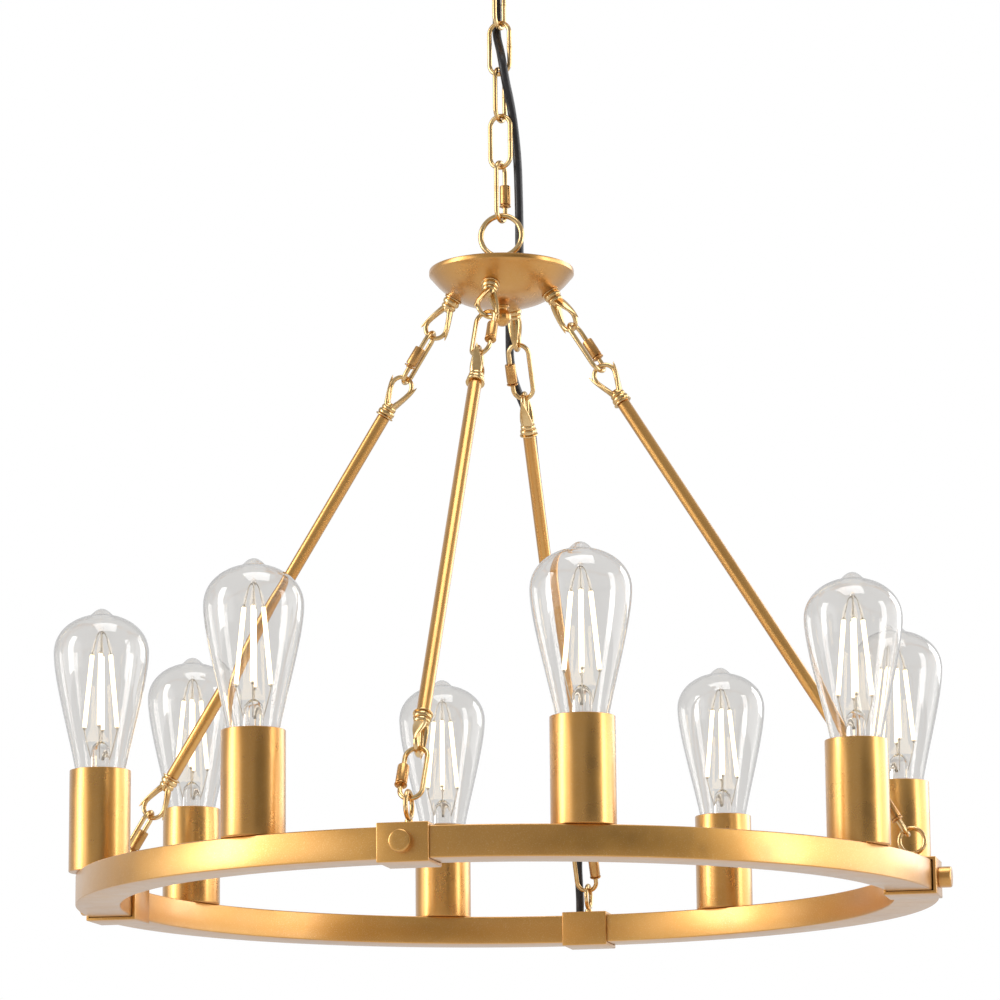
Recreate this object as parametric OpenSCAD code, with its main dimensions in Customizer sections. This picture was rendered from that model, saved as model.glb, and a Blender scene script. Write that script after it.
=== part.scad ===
// Wagon wheel chandelier: a square-section ring with eight lamp cups, hung by four
// rods from a bowl-shaped hub, which hangs on a short chain from a ceiling fitting.
// Millimetres. Z is up, the ceiling is at Z = 0 and the chain hangs down the Z axis.
// Strut 1 is at the front (-Y), 2 at the right (+X), 3 at the back and 4 at the left.

/* [Ring] */
// Outer diameter of the wheel ring
ring_outer_d = 582; // [540:2:640]
// Radial width of the ring's box section
ring_w = 30; // [28:1:34]
// Height of the ring's box section
ring_h = 20; // [18:1:26]
// Wall of the ring's box section
ring_wall = 1.2; // [0.8:0.1:1.6]
// Free length between two ring segments inside a sleeve
segment_gap = 22; // [20:1:26]

/* [Sleeves] */
// Length of a joint sleeve along the ring
sleeve_len = 33; // [31:1:40]
// Wall of a joint sleeve
sleeve_wall = 2; // [1.5:0.1:2.5]
// Diameter of the round bolt head on a sleeve
bolt_head_d = 14; // [10:0.5:16]
// Height of the round bolt head
bolt_head_h = 8.5; // [4:0.5:12]
// Diameter of the bolt's shank
bolt_d = 6; // [4:0.5:7]
// Outer diameter of the eye on a sleeve
eye_outer_d = 20; // [18:0.5:24]
// Wire of the eye on a sleeve
eye_wire = 3; // [2.5:0.1:3.4]
// Height of the eye's centre above the ring's top face
eye_rise = 14.7; // [14:0.1:18]

/* [Lamp cups] */
// Outer diameter of a lamp cup
cup_d = 41; // [40:0.5:46]
// Height of a lamp cup
cup_h = 68.5; // [66:0.5:76]
// Wall of a lamp cup
cup_wall = 1.2; // [0.8:0.1:1.4]
// Outer diameter of the lampholder inside a cup
holder_d = 35; // [32:0.5:36]
// Outer diameter of the hollow nipple that holds a cup
nipple_d = 9.9; // [9:0.1:11]

/* [Lamps] */
// Greatest diameter of the lamp's glass
lamp_d = 64; // [56:1:68]
// Height of the lamp's tip above the cup's rim
lamp_rise = 110; // [104:1:116]
// Wall of the lamp's glass
glass_wall = 0.9; // [0.7:0.1:1.2]
// Diameter of the lamp's screw cap
cap_d = 26; // [25:0.5:26.5]
// Depth of the screw cap's lower end below the cup's rim
cap_depth = 33; // [30:1:38]
// Number of light sticks in a lamp
sticks = 4; // [3:1:8]
// Diameter of a light stick
stick_d = 2.6; // [1.4:0.1:3]

/* [Hub] */
// Outer diameter of the hub bowl's rim
hub_d = 101; // [97:1:106]
// Depth of the hub bowl from rim to bottom
hub_depth = 25.5; // [24:0.5:32]
// Wall of the hub bowl
hub_wall = 1.2; // [0.8:0.1:1.6]
// Height of the rolled rim band
rim_h = 4; // [3:0.5:5]
// Outer diameter of the loop on top of the hub
hub_loop_d = 33; // [30:0.5:38]
// Wire of the loop on top of the hub
hub_loop_wire = 3.8; // [3:0.1:4.2]
// Height of the neck below that loop
loop_stand = 9.4; // [6:0.2:12]
// Diameter of the finial ball
finial_d = 13; // [10:0.5:18]
// Height from the hub's rim down to the ring's top face
hub_drop = 424; // [400:2:480]

/* [Struts] */
// Diameter of the four rods
rod_d = 9; // [8:0.5:10]
// Radius at which a hook sits on the hub bowl
hook_seat_r = 34.5; // [32:0.5:38]
// Length of a hook from its flange to its tip
hook_len = 33; // [31:0.5:36]
// Outer width of a hook's wire loop
hook_w = 18; // [17:0.5:19]
// Wire of a hook's loop
hook_wire = 3.2; // [2.8:0.1:3.4]
// Diameter of a hook's flange
flange_d = 13; // [12:0.5:15]
// Outer length of a screw link
screw_link_len = 43.5; // [42:0.5:50]
// Outer width of a screw link
screw_link_w = 17.5; // [17:0.5:20]
// Wire of a screw link
screw_link_wire = 3.2; // [2.8:0.1:3.4]
// Diameter of a screw link's nut
nut_d = 7.5; // [6:0.5:8]
// Length of a screw link's nut
nut_len = 16; // [12:0.5:17]
// Turn of each hub hook about its own axis, front, right, back, left
hook_turn = [45, 45, 0, 0];
// Turn of each upper screw link about its strut, front, right, back, left
link_turn = [20, 20, 0, 0];

/* [Chain] */
// Outer length of a chain link
link_len = 40.8; // [38:0.2:44]
// Outer width of a chain link
link_w = 18.6; // [17:0.2:20]
// Wire of a chain link
link_wire = 3.2; // [2.6:0.1:3.4]
// Outer length of the screw link between chain and hub
top_link_len = 45.5; // [43:0.5:52]
// Turn of the chain about the vertical
chain_turn = -12.5; // [-30:0.5:30]

/* [Ceiling fitting] */
// Diameter of the canopy's rim
canopy_d = 124; // [115:1:140]
// Height of the canopy
canopy_h = 27; // [24:0.5:34]
// Wall of the canopy
canopy_wall = 1; // [0.8:0.1:1.5]
// Diameter of the threaded boss above the canopy's loop
boss_d = 26; // [25.8:0.1:28]
// Outer diameter of the collar nut under the canopy
collar_d = 36; // [34:1:40]
// Height of the collar nut
collar_h = 8; // [6:0.5:10]
// Outer diameter of the canopy's loop
canopy_loop_d = 25; // [24:0.2:25.4]
// Wire of the canopy's loop
canopy_loop_wire = 4; // [3:0.1:4.2]
// Distance from the collar nut down to the top of the canopy's loop
loop_neck = 7.5; // [6:0.5:9]
// Length of the ceiling crossbar
bar_len = 104; // [102:1:110]
// Width of the ceiling crossbar
bar_w = 19; // [16:1:24]
// Thickness of the ceiling crossbar
bar_t = 2.5; // [2:0.1:3]
// Distance between the centres of the crossbar's two slots
slot_spacing = 79.4; // [76:0.2:82]
// Length of a slot from end to end
slot_len = 14.2; // [10:0.2:16]
// Width of a slot
slot_w = 4.6; // [4.2:0.1:5]

/* [Cord] */
// Diameter of the cord
cord_d = 6; // [5:0.5:6]

/* [Fits] */
// Gap between two wires that hang in each other
hang_gap = 0.3; // [0.2:0.05:0.5]
// Gap between parts that slide or seat on each other
fit = 0.3; // [0.2:0.05:0.4]
// Gap of a thread on its radius
thread_gap = 0.05; // [0.03:0.01:0.08]

/* [Hidden] */
$fn = 48;

gold = "#c48a35";
brass = "#cda45c";
steel = "#b9bcc0";

// Heights of the hanging chain, from the ceiling down
canopy_loop_z = -(canopy_h + collar_h + loop_neck + canopy_loop_d / 2);
loop_seat_z = canopy_loop_z - canopy_loop_d / 2 + canopy_loop_wire;
link_top_z = loop_seat_z + hang_gap + link_wire - link_len / 2;
link_pitch = link_len - 2 * link_wire - hang_gap;
chain_end_z = link_top_z - 3 * link_pitch - link_len / 2;
top_link_z = chain_end_z + link_wire + hang_gap + screw_link_wire - top_link_len / 2;
hub_loop_top_z = top_link_z - top_link_len / 2 + screw_link_wire + hang_gap + hub_loop_wire;
hub_loop_z = hub_loop_top_z - hub_loop_d / 2;

// The hub bowl is flat in the middle and grows steeper towards its rim band
cover_top_z = hub_loop_z - hub_loop_d / 2 - loop_stand;
cover_t = 1.5;
rim_z = cover_top_z + 1;
bowl_bottom_z = rim_z - hub_depth;
bowl_edge_r = hub_d / 2 - 0.6;
bowl_rise = hub_depth - rim_h;
bowl_power = 3;
function bowl_z(r) = bowl_bottom_z + bowl_rise * pow(r / bowl_edge_r, bowl_power);
function bowl_slope(r) = bowl_power * bowl_rise / bowl_edge_r * pow(r / bowl_edge_r, bowl_power - 1);
// A point on the bowl's profile, drawn inwards by its wall
function bowl_point(r, inset) =
    let (s = bowl_slope(r), n = sqrt(1 + s * s))
        [max(r - inset * s / n, 0), bowl_z(r) + inset / n];
stem_d = 9.9;
stem_bore = 7;

// The ring hangs below the hub
ring_z = rim_z - hub_drop;
ring_r = ring_outer_d / 2;
ring_mid_r = ring_r - ring_w / 2;
eye_z = ring_z + eye_rise;

// A strut runs in a straight line from its hook's seat on the hub to its ring eye
hook_seat_z = bowl_z(hook_seat_r) + 0.4;
strut_dr = ring_mid_r - hook_seat_r;
strut_dz = hook_seat_z - eye_z;
strut_len = norm([strut_dr, strut_dz]);
strut_tilt = atan2(strut_dr, strut_dz);
wire_step = hook_wire + hang_gap + screw_link_wire;
upper_link_s = hook_len - wire_step + screw_link_len / 2;
rod_top_s = 2 * hook_len + screw_link_len - 2 * wire_step;
eye_wire_s = strut_len - eye_outer_d / 2 + eye_wire / 2;
lower_link_end_s = eye_wire_s + eye_wire / 2 + hang_gap + screw_link_wire;
lower_link_s = lower_link_end_s - screw_link_len / 2;
rod_end_s = lower_link_end_s - screw_link_len + wire_step - hook_len;
strut_az = [-90, 0, 90, 180];

// Lamp cups stand half way between the sleeves
cup_az = [for (k = [0:7]) -112.5 + 45 * k];
cup_rim_z = ring_z + cup_h;
nipple_bore = 7;

// Where the cord goes into the hub, leaves it and goes into the ring
cord_in = [11, 9];
cord_out_n = 12;
cord_out_x = -6;
cord_ring = [-7.5, 281];
bush_wall = 1.5;
bush_flange = 1.2;

// Points that the cord runs along beside the chain: [along the first link's
// bottom wire, square to it, height]
chain_route = [
    [0, 0, -3], [0, 0, -20], [0, 0, -34], [-0.4, 0.6, -41], [-1.2, 1.4, -47], [-2.8, 3.8, -52],
    [-4.4, 6.2, -58], [-5.4, 7.8, -65], [-5.6, 8.2, -73], [-5.4, 8, -82],
    [-5.2, 7.4, -91], [-5, 6.2, -98], [-4, 4.8, -104], [-1.8, 2.4, -110],
    [0.8, -0.6, -116], [3.2, -3.8, -122], [5, -5.6, -128], [5.8, -5.2, -134], [6.2, -2.6, -142],
    [6.4, 1.2, -150], [6.6, 4.4, -158], [7.4, 5.8, -167], [8.6, 6.2, -178], [9.3, 7.2, -190],
    [9.6, 8.2, -203], [9.6, 8.9, -216], [9.5, 9.6, -229], [9.2, 10.5, -242]
];
hub_route = [[11, 9, -254], [11, 9, -268], [11, 9, -290]];
// Points of the route at which the cord is divided, near the chain's two pivots
cord_cuts = [0, 8, 14, 30];
// Points of the lower cord beside strut 3: [sideways, along, outwards]
cord_lower_route = [
    [-6, -6.5, 12], [-6, -1, 12], [-6, 7, 12], [-6.4, 16, 11.8], [-7.6, 28, 10.8],
    [-8.6, 40, 9.8], [-8.4, 52, 9.6], [-6.8, 64, 10.6], [-4.2, 75, 11.6], [-1.6, 86, 11.6],
    [0, 98, 10.6], [0, 112, 9], [0, 130, 8], [0, 160, 7.9], [0, 200, 7.9], [0, 250, 7.9],
    [0, 300, 7.9], [0, 345, 7.9], [0, 366, 8.4], [0, 380, 10], [-0.8, 392, 11.4],
    [-2.6, 404, 12.2], [-4.6, 417, 12.2], [-6, 430, 11.4], [-7, 441, 9.6]
];
// Points where it then drops into the ring
cord_drop_route = [
    [-7.5, 278.6, -674], [-7.5, 281, -686], [-7.5, 281, -696], [-7.5, 281, -706]
];

// ---------- shared shapes ----------

// A closed ring of round wire, standing in the XZ plane
module wire_ring(outer, wire) {
    rotate([90, 0, 0])
        rotate_extrude()
            translate([(outer - wire) / 2, 0])
                circle(d = wire);
}

// A long link of round wire in the XZ plane, its long side along Z
module wire_link(len, wid, wire) {
    r = (wid - wire) / 2;
    straight = len - wid;
    for (end = [0, 180])
        rotate([0, end, 0])
            translate([0, 0, straight / 2])
                rotate([90, 0, 0])
                    rotate_extrude(angle = 180)
                        translate([r, 0])
                            circle(d = wire);
    for (side = [-1, 1])
        translate([side * r, 0, -straight / 2])
            cylinder(d = wire, h = straight);
}

// The screwed sleeve of a screw link, on the link's +X side and below its middle
module link_nut() {
    low = -nut_len / 2 - 2;
    translate([(screw_link_w - screw_link_wire) / 2, 0, low])
        difference() {
            union() {
                cylinder(d = nut_d, h = nut_len - 2.4);
                translate([0, 0, nut_len - 2.4])
                    cylinder(d1 = nut_d, d2 = nut_d - 1.6, h = 2.4);
                cylinder(d = nut_d + 0.7, h = 1.3);
            }
            translate([0, 0, -1])
                cylinder(d = screw_link_wire + 2 * thread_gap, h = nut_len + 2);
        }
}

// A rod or hub hook: flange and turned beads at the bottom, then two legs, thick at
// the root, that carry a wire loop in the XZ plane
module hook() {
    r = (hook_w - hook_wire) / 2;
    bow_z = hook_len - hook_w / 2;
    splay = 20;
    root_z = 6.6;
    tangent = [r * cos(splay), bow_z - r * sin(splay)];
    leg = (tangent[1] - root_z) / cos(splay);
    rotate_extrude()
        polygon([
            [0, 0], [flange_d / 2, 0], [flange_d / 2, 1.2], [4.9, 1.5],
            for (a = [-60:20:60]) [4.9 + 1.1 * cos(a), 3.3 + 1.9 * sin(a)],
            for (a = [-60:20:60]) [4.2 + 1.1 * cos(a), 6.8 + 1.6 * sin(a)],
            [3.9, 8.6], [2.6, 10.4], [0, 11]
        ]);
    translate([0, 0, bow_z])
        rotate([90, 0, 0])
            rotate([0, 0, -splay])
                rotate_extrude(angle = 180 + 2 * splay)
                    translate([r, 0])
                        circle(d = hook_wire, $fn = 32);
    for (side = [-1, 1])
        translate([side * tangent[0], 0, tangent[1]])
            rotate([0, 180 + side * splay, 0]) {
                translate([0, 0, -1])
                    cylinder(d = hook_wire - 0.3, h = leg + 1, $fn = 32);
                translate([0, 0, 3])
                    cylinder(r1 = hook_wire / 2 - 0.5, r2 = hook_wire / 2 + 0.75,
                        h = leg - 3, $fn = 32);
            }
}

// Places a child beside a strut: Z runs from the hub down to the ring
module at_strut(k) {
    rotate([0, 0, strut_az[k - 1]])
        translate([hook_seat_r, 0, hook_seat_z])
            rotate([0, 180 - strut_tilt, 0])
                children();
}

// Sweeps a round tube along a list of points
function unit(v) = v / norm(v);
function along(p, i) = unit(p[min(i + 1, len(p) - 1)] - p[max(i - 1, 0)]);
// The tube's sideways direction, carried along without twist
function carried(p, i) =
    i == 0 ? unit(cross(along(p, 0), [0.3, 1, 0.2]))
           : let (u = carried(p, i - 1), t = along(p, i)) unit(u - t * (u * t));
function tube_points(p, from, to, n) = [
    for (i = [from:to])
        let (t = along(p, i), u = carried(p, i), v = cross(t, u))
            for (k = [0:n - 1])
                p[i] + cord_d / 2 * (cos(360 * k / n) * u + sin(360 * k / n) * v)
];
function tube_faces(rings, n) = concat(
    [[for (k = [0:n - 1]) k]],
    [for (i = [0:rings - 2], k = [0:n - 1])
        let (a = i * n + k, b = i * n + (k + 1) % n)
            each [[a, a + n, b + n], [a, b + n, b]]],
    [[for (k = [n - 1:-1:0]) (rings - 1) * n + k]]
);
module cord(path, from, to) {
    sides = 10;
    color("#1c1b1c")
        polyhedron(tube_points(path, from, to, sides), tube_faces(to - from + 1, sides), convexity = 10);
}

// Turns a point beside the chain into a place on the object
function beside_chain(q) = [
    q[0] * cos(chain_turn) - q[1] * sin(chain_turn),
    q[0] * sin(chain_turn) + q[1] * cos(chain_turn),
    q[2]
];

// Turns [sideways, along, outwards] beside strut 3 into a place on the object
function beside_strut(q) = [
    q[0],
    hook_seat_r + q[1] * sin(strut_tilt) + q[2] * cos(strut_tilt),
    hook_seat_z - q[1] * cos(strut_tilt) + q[2] * sin(strut_tilt)
];
cord_route = concat([for (q = chain_route) beside_chain(q)], hub_route);
cord_lower_path = concat([for (q = cord_lower_route) beside_strut(q)], cord_drop_route);

// ---------- ceiling fitting ----------

module crossbar() {
    color(steel)
        difference() {
            translate([-bar_len / 2, -bar_w / 2, -bar_t])
                cube([bar_len, bar_w, bar_t]);
            for (side = [-1, 1])
                translate([side * slot_spacing / 2, 0, 0])
                    slot_cut();
            translate([0, 0, -bar_t - 1])
                cylinder(d = nipple_d + 2 * thread_gap, h = bar_t + 2);
        }
}

// One slot of the crossbar, with round ends
module slot_cut() {
    straight = slot_len - slot_w;
    translate([-straight / 2, -slot_w / 2, -bar_t - 1])
        cube([straight, slot_w, bar_t + 2]);
    for (end = [-1, 1])
        translate([end * straight / 2, 0, -bar_t - 1])
            cylinder(d = slot_w, h = bar_t + 2);
}

// Hollow threaded pipe from the crossbar into the loop's boss, with its lock nut
module canopy_nipple() {
    end_z = -(canopy_h + 6);
    color(brass)
        difference() {
            union() {
                translate([0, 0, end_z])
                    cylinder(d = nipple_d, h = -end_z);
                translate([0, 0, -bar_t - 3.3])
                    cylinder(d = 15, h = 3.2, $fn = 6);
            }
            translate([0, 0, end_z - 1])
                cylinder(d = nipple_bore, h = 2 - end_z);
        }
}

// Screw loop: a threaded boss above, a hollow neck and the loop that holds the chain
module canopy_loop() {
    boss_top = -canopy_h + 3;
    boss_bottom = -canopy_h - collar_h - 1;
    loop_top = canopy_loop_z + canopy_loop_d / 2;
    color(brass)
        difference() {
            union() {
                translate([0, 0, boss_bottom])
                    cylinder(d = boss_d, h = boss_top - boss_bottom);
                translate([0, 0, boss_bottom - 4])
                    cylinder(d1 = 15, d2 = 21, h = 4.2);
                translate([0, 0, loop_top - 4.6])
                    cylinder(d = 15, h = boss_bottom - loop_top + 1);
                translate([0, 0, canopy_loop_z])
                    rotate([0, 0, chain_turn])
                        wire_ring(canopy_loop_d, canopy_loop_wire);
            }
            translate([0, 0, boss_bottom - 20])
                cylinder(d = nipple_d + 2 * thread_gap, h = boss_top - boss_bottom + 40);
        }
}

module canopy() {
    foot = 4;
    flat_r = collar_d / 2 + 3;
    color(gold)
        rotate_extrude()
            difference() {
                polygon(concat(
                    [[boss_d / 2 + 0.5, -canopy_h], [flat_r, -canopy_h]],
                    [for (a = [10:10:80]) canopy_side(a, 0)],
                    [[canopy_d / 2, -foot], [canopy_d / 2, 0],
                     [canopy_d / 2 - 2.4, 0], [canopy_d / 2 - 2.4, -foot]],
                    [for (a = [80:-10:10]) canopy_side(a, canopy_wall)],
                    [[flat_r, canopy_wall - canopy_h], [boss_d / 2 + 0.5, canopy_wall - canopy_h]]
                ));
            }
}

// A point on the canopy's curved side, drawn inwards by its wall
function canopy_side(a, inset) =
    let (flat_r = collar_d / 2 + 3, foot = 4)
        [flat_r + (canopy_d / 2 - 1 - flat_r) * sin(a) - inset * sin(a),
         -canopy_h + (canopy_h - foot) * (1 - cos(a)) + inset * cos(a)];

// Ring nut that holds the canopy up
module canopy_collar() {
    top = -canopy_h - 0.1;
    color(brass)
        translate([0, 0, top - collar_h])
            rotate_extrude()
                polygon([
                    [boss_d / 2 + thread_gap, 0], [collar_d / 2 - 2.5, 0], [collar_d / 2 - 0.8, 1.2],
                    [collar_d / 2, 3], [collar_d / 2, collar_h - 1.5],
                    [collar_d / 2 - 0.8, collar_h], [boss_d / 2 + thread_gap, collar_h]
                ]);
}

// ---------- chain ----------

module chain_link_top() {
    color(brass)
        translate([0, 0, link_top_z])
            rotate([0, 0, chain_turn + 90])
                wire_link(link_len, link_w, link_wire);
}

module chain_links() {
    color(brass)
        for (k = [1:3])
            translate([0, 0, link_top_z - k * link_pitch])
                rotate([0, 0, chain_turn + (k % 2 == 1 ? 0 : 90)])
                    wire_link(link_len, link_w, link_wire);
}

module top_screw_link() {
    color(brass)
        translate([0, 0, top_link_z])
            rotate([0, 0, chain_turn + 90])
                wire_link(top_link_len, screw_link_w, screw_link_wire);
}

module top_link_nut() {
    color(brass)
        translate([0, 0, top_link_z])
            rotate([0, 0, chain_turn + 90])
                link_nut();
}

// ---------- cord ----------

module cord_top() { cord(cord_route, cord_cuts[0], cord_cuts[1]); }

module cord_middle() { cord(cord_route, cord_cuts[1], cord_cuts[2]); }

module cord_bottom() { cord(cord_route, cord_cuts[2], cord_cuts[3]); }

module cord_lower() { cord(cord_lower_path, 0, len(cord_lower_path) - 1); }

// ---------- hub ----------

module hub_bowl() {
    steps = 12;
    color(gold)
        difference() {
            rotate_extrude($fn = 96)
                polygon(concat(
                    [for (a = [0:steps]) bowl_point(bowl_edge_r * a / steps, 0)],
                    [[hub_d / 2, rim_z - rim_h + 0.6], [hub_d / 2, rim_z - 0.8],
                     [hub_d / 2 - 0.8, rim_z], [hub_d / 2 - 2.2, rim_z],
                     [hub_d / 2 - 2.2, rim_z - rim_h]],
                    [for (a = [steps - 1:-1:0]) bowl_point(bowl_edge_r * a / steps, hub_wall)]
                ));
            translate([0, 0, bowl_bottom_z - 2])
                cylinder(d = stem_bore + 1, h = 10);
            translate(beside_strut([cord_out_x, -10, cord_out_n]))
                rotate([180 + strut_tilt, 0, 0])
                    cylinder(d = cord_d + 2 * (fit + bush_wall) + 0.2, h = 24);
        }
}

module hub_cover() {
    color(gold)
        difference() {
            translate([0, 0, cover_top_z - cover_t])
                cylinder(r = hub_d / 2 - 2.2 - fit, h = cover_t, $fn = 96);
            translate([0, 0, cover_top_z - cover_t - 1])
                cylinder(d = stem_bore, h = cover_t + 2);
            translate([cord_in[0], cord_in[1], cover_top_z - cover_t - 1])
                cylinder(d = cord_d + 2 * (fit + bush_wall) + 0.2, h = cover_t + 2);
        }
}

module hub_loop() {
    shank_end = cover_top_z - cover_t - 10;
    color(gold)
        union() {
            translate([0, 0, hub_loop_z])
                wire_ring(hub_loop_d, hub_loop_wire);
            translate([0, 0, cover_top_z])
                cylinder(d1 = 15, d2 = 9, h = 3.4);
            translate([0, 0, cover_top_z + 1])
                cylinder(d = 8, h = loop_stand + 0.4);
            translate([0, 0, shank_end])
                cylinder(d = stem_bore - 2 * thread_gap, h = cover_top_z - shank_end + 0.2);
        }
}

// Threaded pipe that ties the loop, the cover, the bowl and the finial together
module hub_stem() {
    bottom = bowl_bottom_z + hub_wall + 0.1;
    top = cover_top_z - cover_t - 0.1;
    color(brass)
        difference() {
            translate([0, 0, bottom])
                cylinder(d = stem_d, h = top - bottom);
            translate([0, 0, bottom - 1])
                cylinder(d = stem_bore, h = top - bottom + 2);
        }
}

module hub_hooks() {
    color(brass)
        for (k = [1:4])
            at_strut(k)
                rotate([0, 0, hook_turn[k - 1]])
                    hook();
}

// Soft bushes where the cord goes into the hub and leaves it
module hub_bushings() {
    color("#2a2829") {
        translate([cord_in[0], cord_in[1], cover_top_z])
            cord_bush(cover_t + 2);
        translate(beside_strut([cord_out_x, -0.3, cord_out_n]))
            rotate([180 + strut_tilt, 0, 0])
                cord_bush(5.7);
    }
}

// A bush with its flange on top and its body below
module cord_bush(len) {
    bore = cord_d + 2 * fit;
    difference() {
        union() {
            translate([0, 0, -len])
                cylinder(d = bore + 2 * bush_wall, h = len);
            cylinder(d = bore + 2 * bush_wall + 1.4, h = bush_flange);
        }
        translate([0, 0, -len - 1])
            cylinder(d = bore, h = len + 4);
    }
}

module finial() {
    neck = 2.2;
    ball_z = bowl_bottom_z - neck - finial_d / 2 + 0.6;
    color(gold)
        union() {
            translate([0, 0, ball_z])
                sphere(d = finial_d);
            translate([0, 0, bowl_bottom_z - neck])
                cylinder(d1 = 7.5, d2 = 10.5, h = neck - 0.1);
            translate([0, 0, bowl_bottom_z - neck])
                cylinder(d = stem_bore - 2 * thread_gap, h = neck + 11);
        }
}

// ---------- struts ----------

module rod(k) {
    color(gold)
        at_strut(k)
            translate([0, 0, rod_top_s + 0.05])
                cylinder(d = rod_d, h = rod_end_s - rod_top_s - 0.1);
}

module rod_hooks(k) {
    color(brass)
        at_strut(k) {
            translate([0, 0, rod_top_s])
                rotate([180, 0, 0])
                    hook();
            translate([0, 0, rod_end_s])
                hook();
        }
}

module screw_links(k) {
    color(brass)
        at_strut(k) {
            translate([0, 0, upper_link_s])
                rotate([180, 0, 90 + link_turn[k - 1]])
                    screw_link();
            translate([0, 0, lower_link_s])
                rotate([180, 0, -90])
                    screw_link();
        }
}

module screw_link() {
    wire_link(screw_link_len, screw_link_w, screw_link_wire);
    link_nut();
}

// ---------- ring ----------

module ring_segment(k) {
    half_gap = asin(segment_gap / 2 / ring_mid_r);
    color(gold)
        difference() {
            rotate([0, 0, strut_az[k - 1] + half_gap])
                rotate_extrude(angle = 90 - 2 * half_gap, $fn = 180)
                    translate([ring_mid_r, ring_z - ring_h / 2])
                        difference() {
                            square([ring_w, ring_h], center = true);
                            square([ring_w - 2 * ring_wall, ring_h - 2 * ring_wall], center = true);
                        }
            for (a = [22.5, 67.5])
                rotate([0, 0, strut_az[k - 1] + a])
                    translate([ring_mid_r, 0, ring_z - ring_wall - 1])
                        cylinder(d = nipple_d + 0.4, h = ring_wall + 2);
        }
}

module sleeves() {
    color(gold)
        for (k = [1:4])
            rotate([0, 0, strut_az[k - 1]])
                sleeve(k == 3);
}

// A box sleeve round two ring ends. The sleeve of strut 3 has the cord's hole.
module sleeve(has_cord) {
    drop_in = 0.6;
    inner_r = ring_r - ring_w - fit - drop_in - sleeve_wall;
    outer_r = ring_r + fit + sleeve_wall;
    grow = fit + sleeve_wall;
    difference() {
        translate([inner_r, -sleeve_len / 2, ring_z - ring_h - grow])
            cube([outer_r - inner_r, sleeve_len, ring_h + 2 * grow]);
        translate([inner_r + sleeve_wall, -sleeve_len / 2 - 1, ring_z - ring_h - fit])
            cube([outer_r - inner_r - 2 * sleeve_wall, sleeve_len + 2, ring_h + 2 * fit]);
        translate([ring_r - 5, 0, ring_z - ring_h / 2])
            rotate([0, 90, 0])
                cylinder(d = bolt_d + 0.2, h = 20);
        translate([ring_mid_r, 0, ring_z - 2])
            cylinder(d = 5.2, h = 10);
        if (has_cord)
            rotate([0, 0, -90])
                translate([cord_ring[0], cord_ring[1], ring_z - 2])
                    cylinder(d = cord_d + 2 * fit + 1.2, h = 10);
    }
}

module sleeve_bolts() {
    face = ring_r + fit + sleeve_wall;
    color(gold)
        for (k = [1:4])
            rotate([0, 0, strut_az[k - 1]])
                translate([face, 0, ring_z - ring_h / 2])
                    rotate([0, 90, 0]) {
                        rotate_extrude()
                            polygon([
                                [0, 0], [bolt_head_d / 2 - 0.4, 0], [bolt_head_d / 2, 0.4],
                                [bolt_head_d / 2, bolt_head_h - 0.8],
                                [bolt_head_d / 2 - 0.8, bolt_head_h], [0, bolt_head_h]
                            ]);
                        translate([0, 0, -18])
                            cylinder(d = bolt_d, h = 18.2);
                        translate([0, 0, -sleeve_wall - 3.2])
                            cylinder(d = 10.6, h = 3.1, $fn = 6);
                    }
}

module ring_eyes() {
    plate_z = ring_z + fit + sleeve_wall;
    color(brass)
        for (k = [1:4])
            rotate([0, 0, strut_az[k - 1]])
                translate([ring_mid_r, 0, 0]) {
                    translate([0, 0, eye_z])
                        wire_ring(eye_outer_d, eye_wire);
                    translate([0, 0, ring_z - 5.5])
                        cylinder(d = 5, h = eye_rise - eye_outer_d / 2 + 7);
                    translate([0, 0, plate_z])
                        cylinder(d = 7.6, h = 1.2);
                    translate([0, 0, ring_z - 2.8])
                        cylinder(d = 9.2, h = 3, $fn = 6);
                }
}

// Bush that lines the cord's hole in the sleeve of strut 3
module sleeve_bushing() {
    plate_z = ring_z + fit + sleeve_wall;
    bore = cord_d + 2 * fit;
    color("#2a2829")
        translate([cord_ring[0], cord_ring[1], plate_z])
            difference() {
                union() {
                    translate([0, 0, -sleeve_wall])
                        cylinder(d = bore + 1.1, h = sleeve_wall);
                    cylinder(d = bore + 1.7, h = 0.8);
                }
                translate([0, 0, -5])
                    cylinder(d = bore, h = 10);
            }
}

// ---------- lamp cups ----------

module each_cup() {
    for (a = cup_az)
        rotate([0, 0, a])
            translate([ring_mid_r, 0, ring_z])
                children();
}

module lamp_cups() {
    color(gold)
        each_cup()
            rotate_extrude($fn = 64)
                polygon([
                    [nipple_d / 2 + 0.2, 0.05], [cup_d / 2 - 0.6, 0.05], [cup_d / 2, 0.65],
                    [cup_d / 2, cup_h - 0.3], [cup_d / 2 - 0.3, cup_h],
                    [cup_d / 2 - cup_wall, cup_h],
                    [cup_d / 2 - cup_wall, cup_wall], [nipple_d / 2 + 0.2, cup_wall]
                ]);
}

module cup_nipples() {
    color(brass)
        each_cup()
            difference() {
                union() {
                    translate([0, 0, -ring_wall - 5])
                        cylinder(d = nipple_d, h = ring_wall + 5 + cup_wall + 4);
                    translate([0, 0, -ring_wall - 3.2])
                        cylinder(d = 15, h = 3, $fn = 6);
                    translate([0, 0, cup_wall + 0.1])
                        cylinder(d = 15, h = 3, $fn = 6);
                }
                translate([0, 0, -10])
                    cylinder(d = nipple_bore, h = 30);
            }
}

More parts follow.
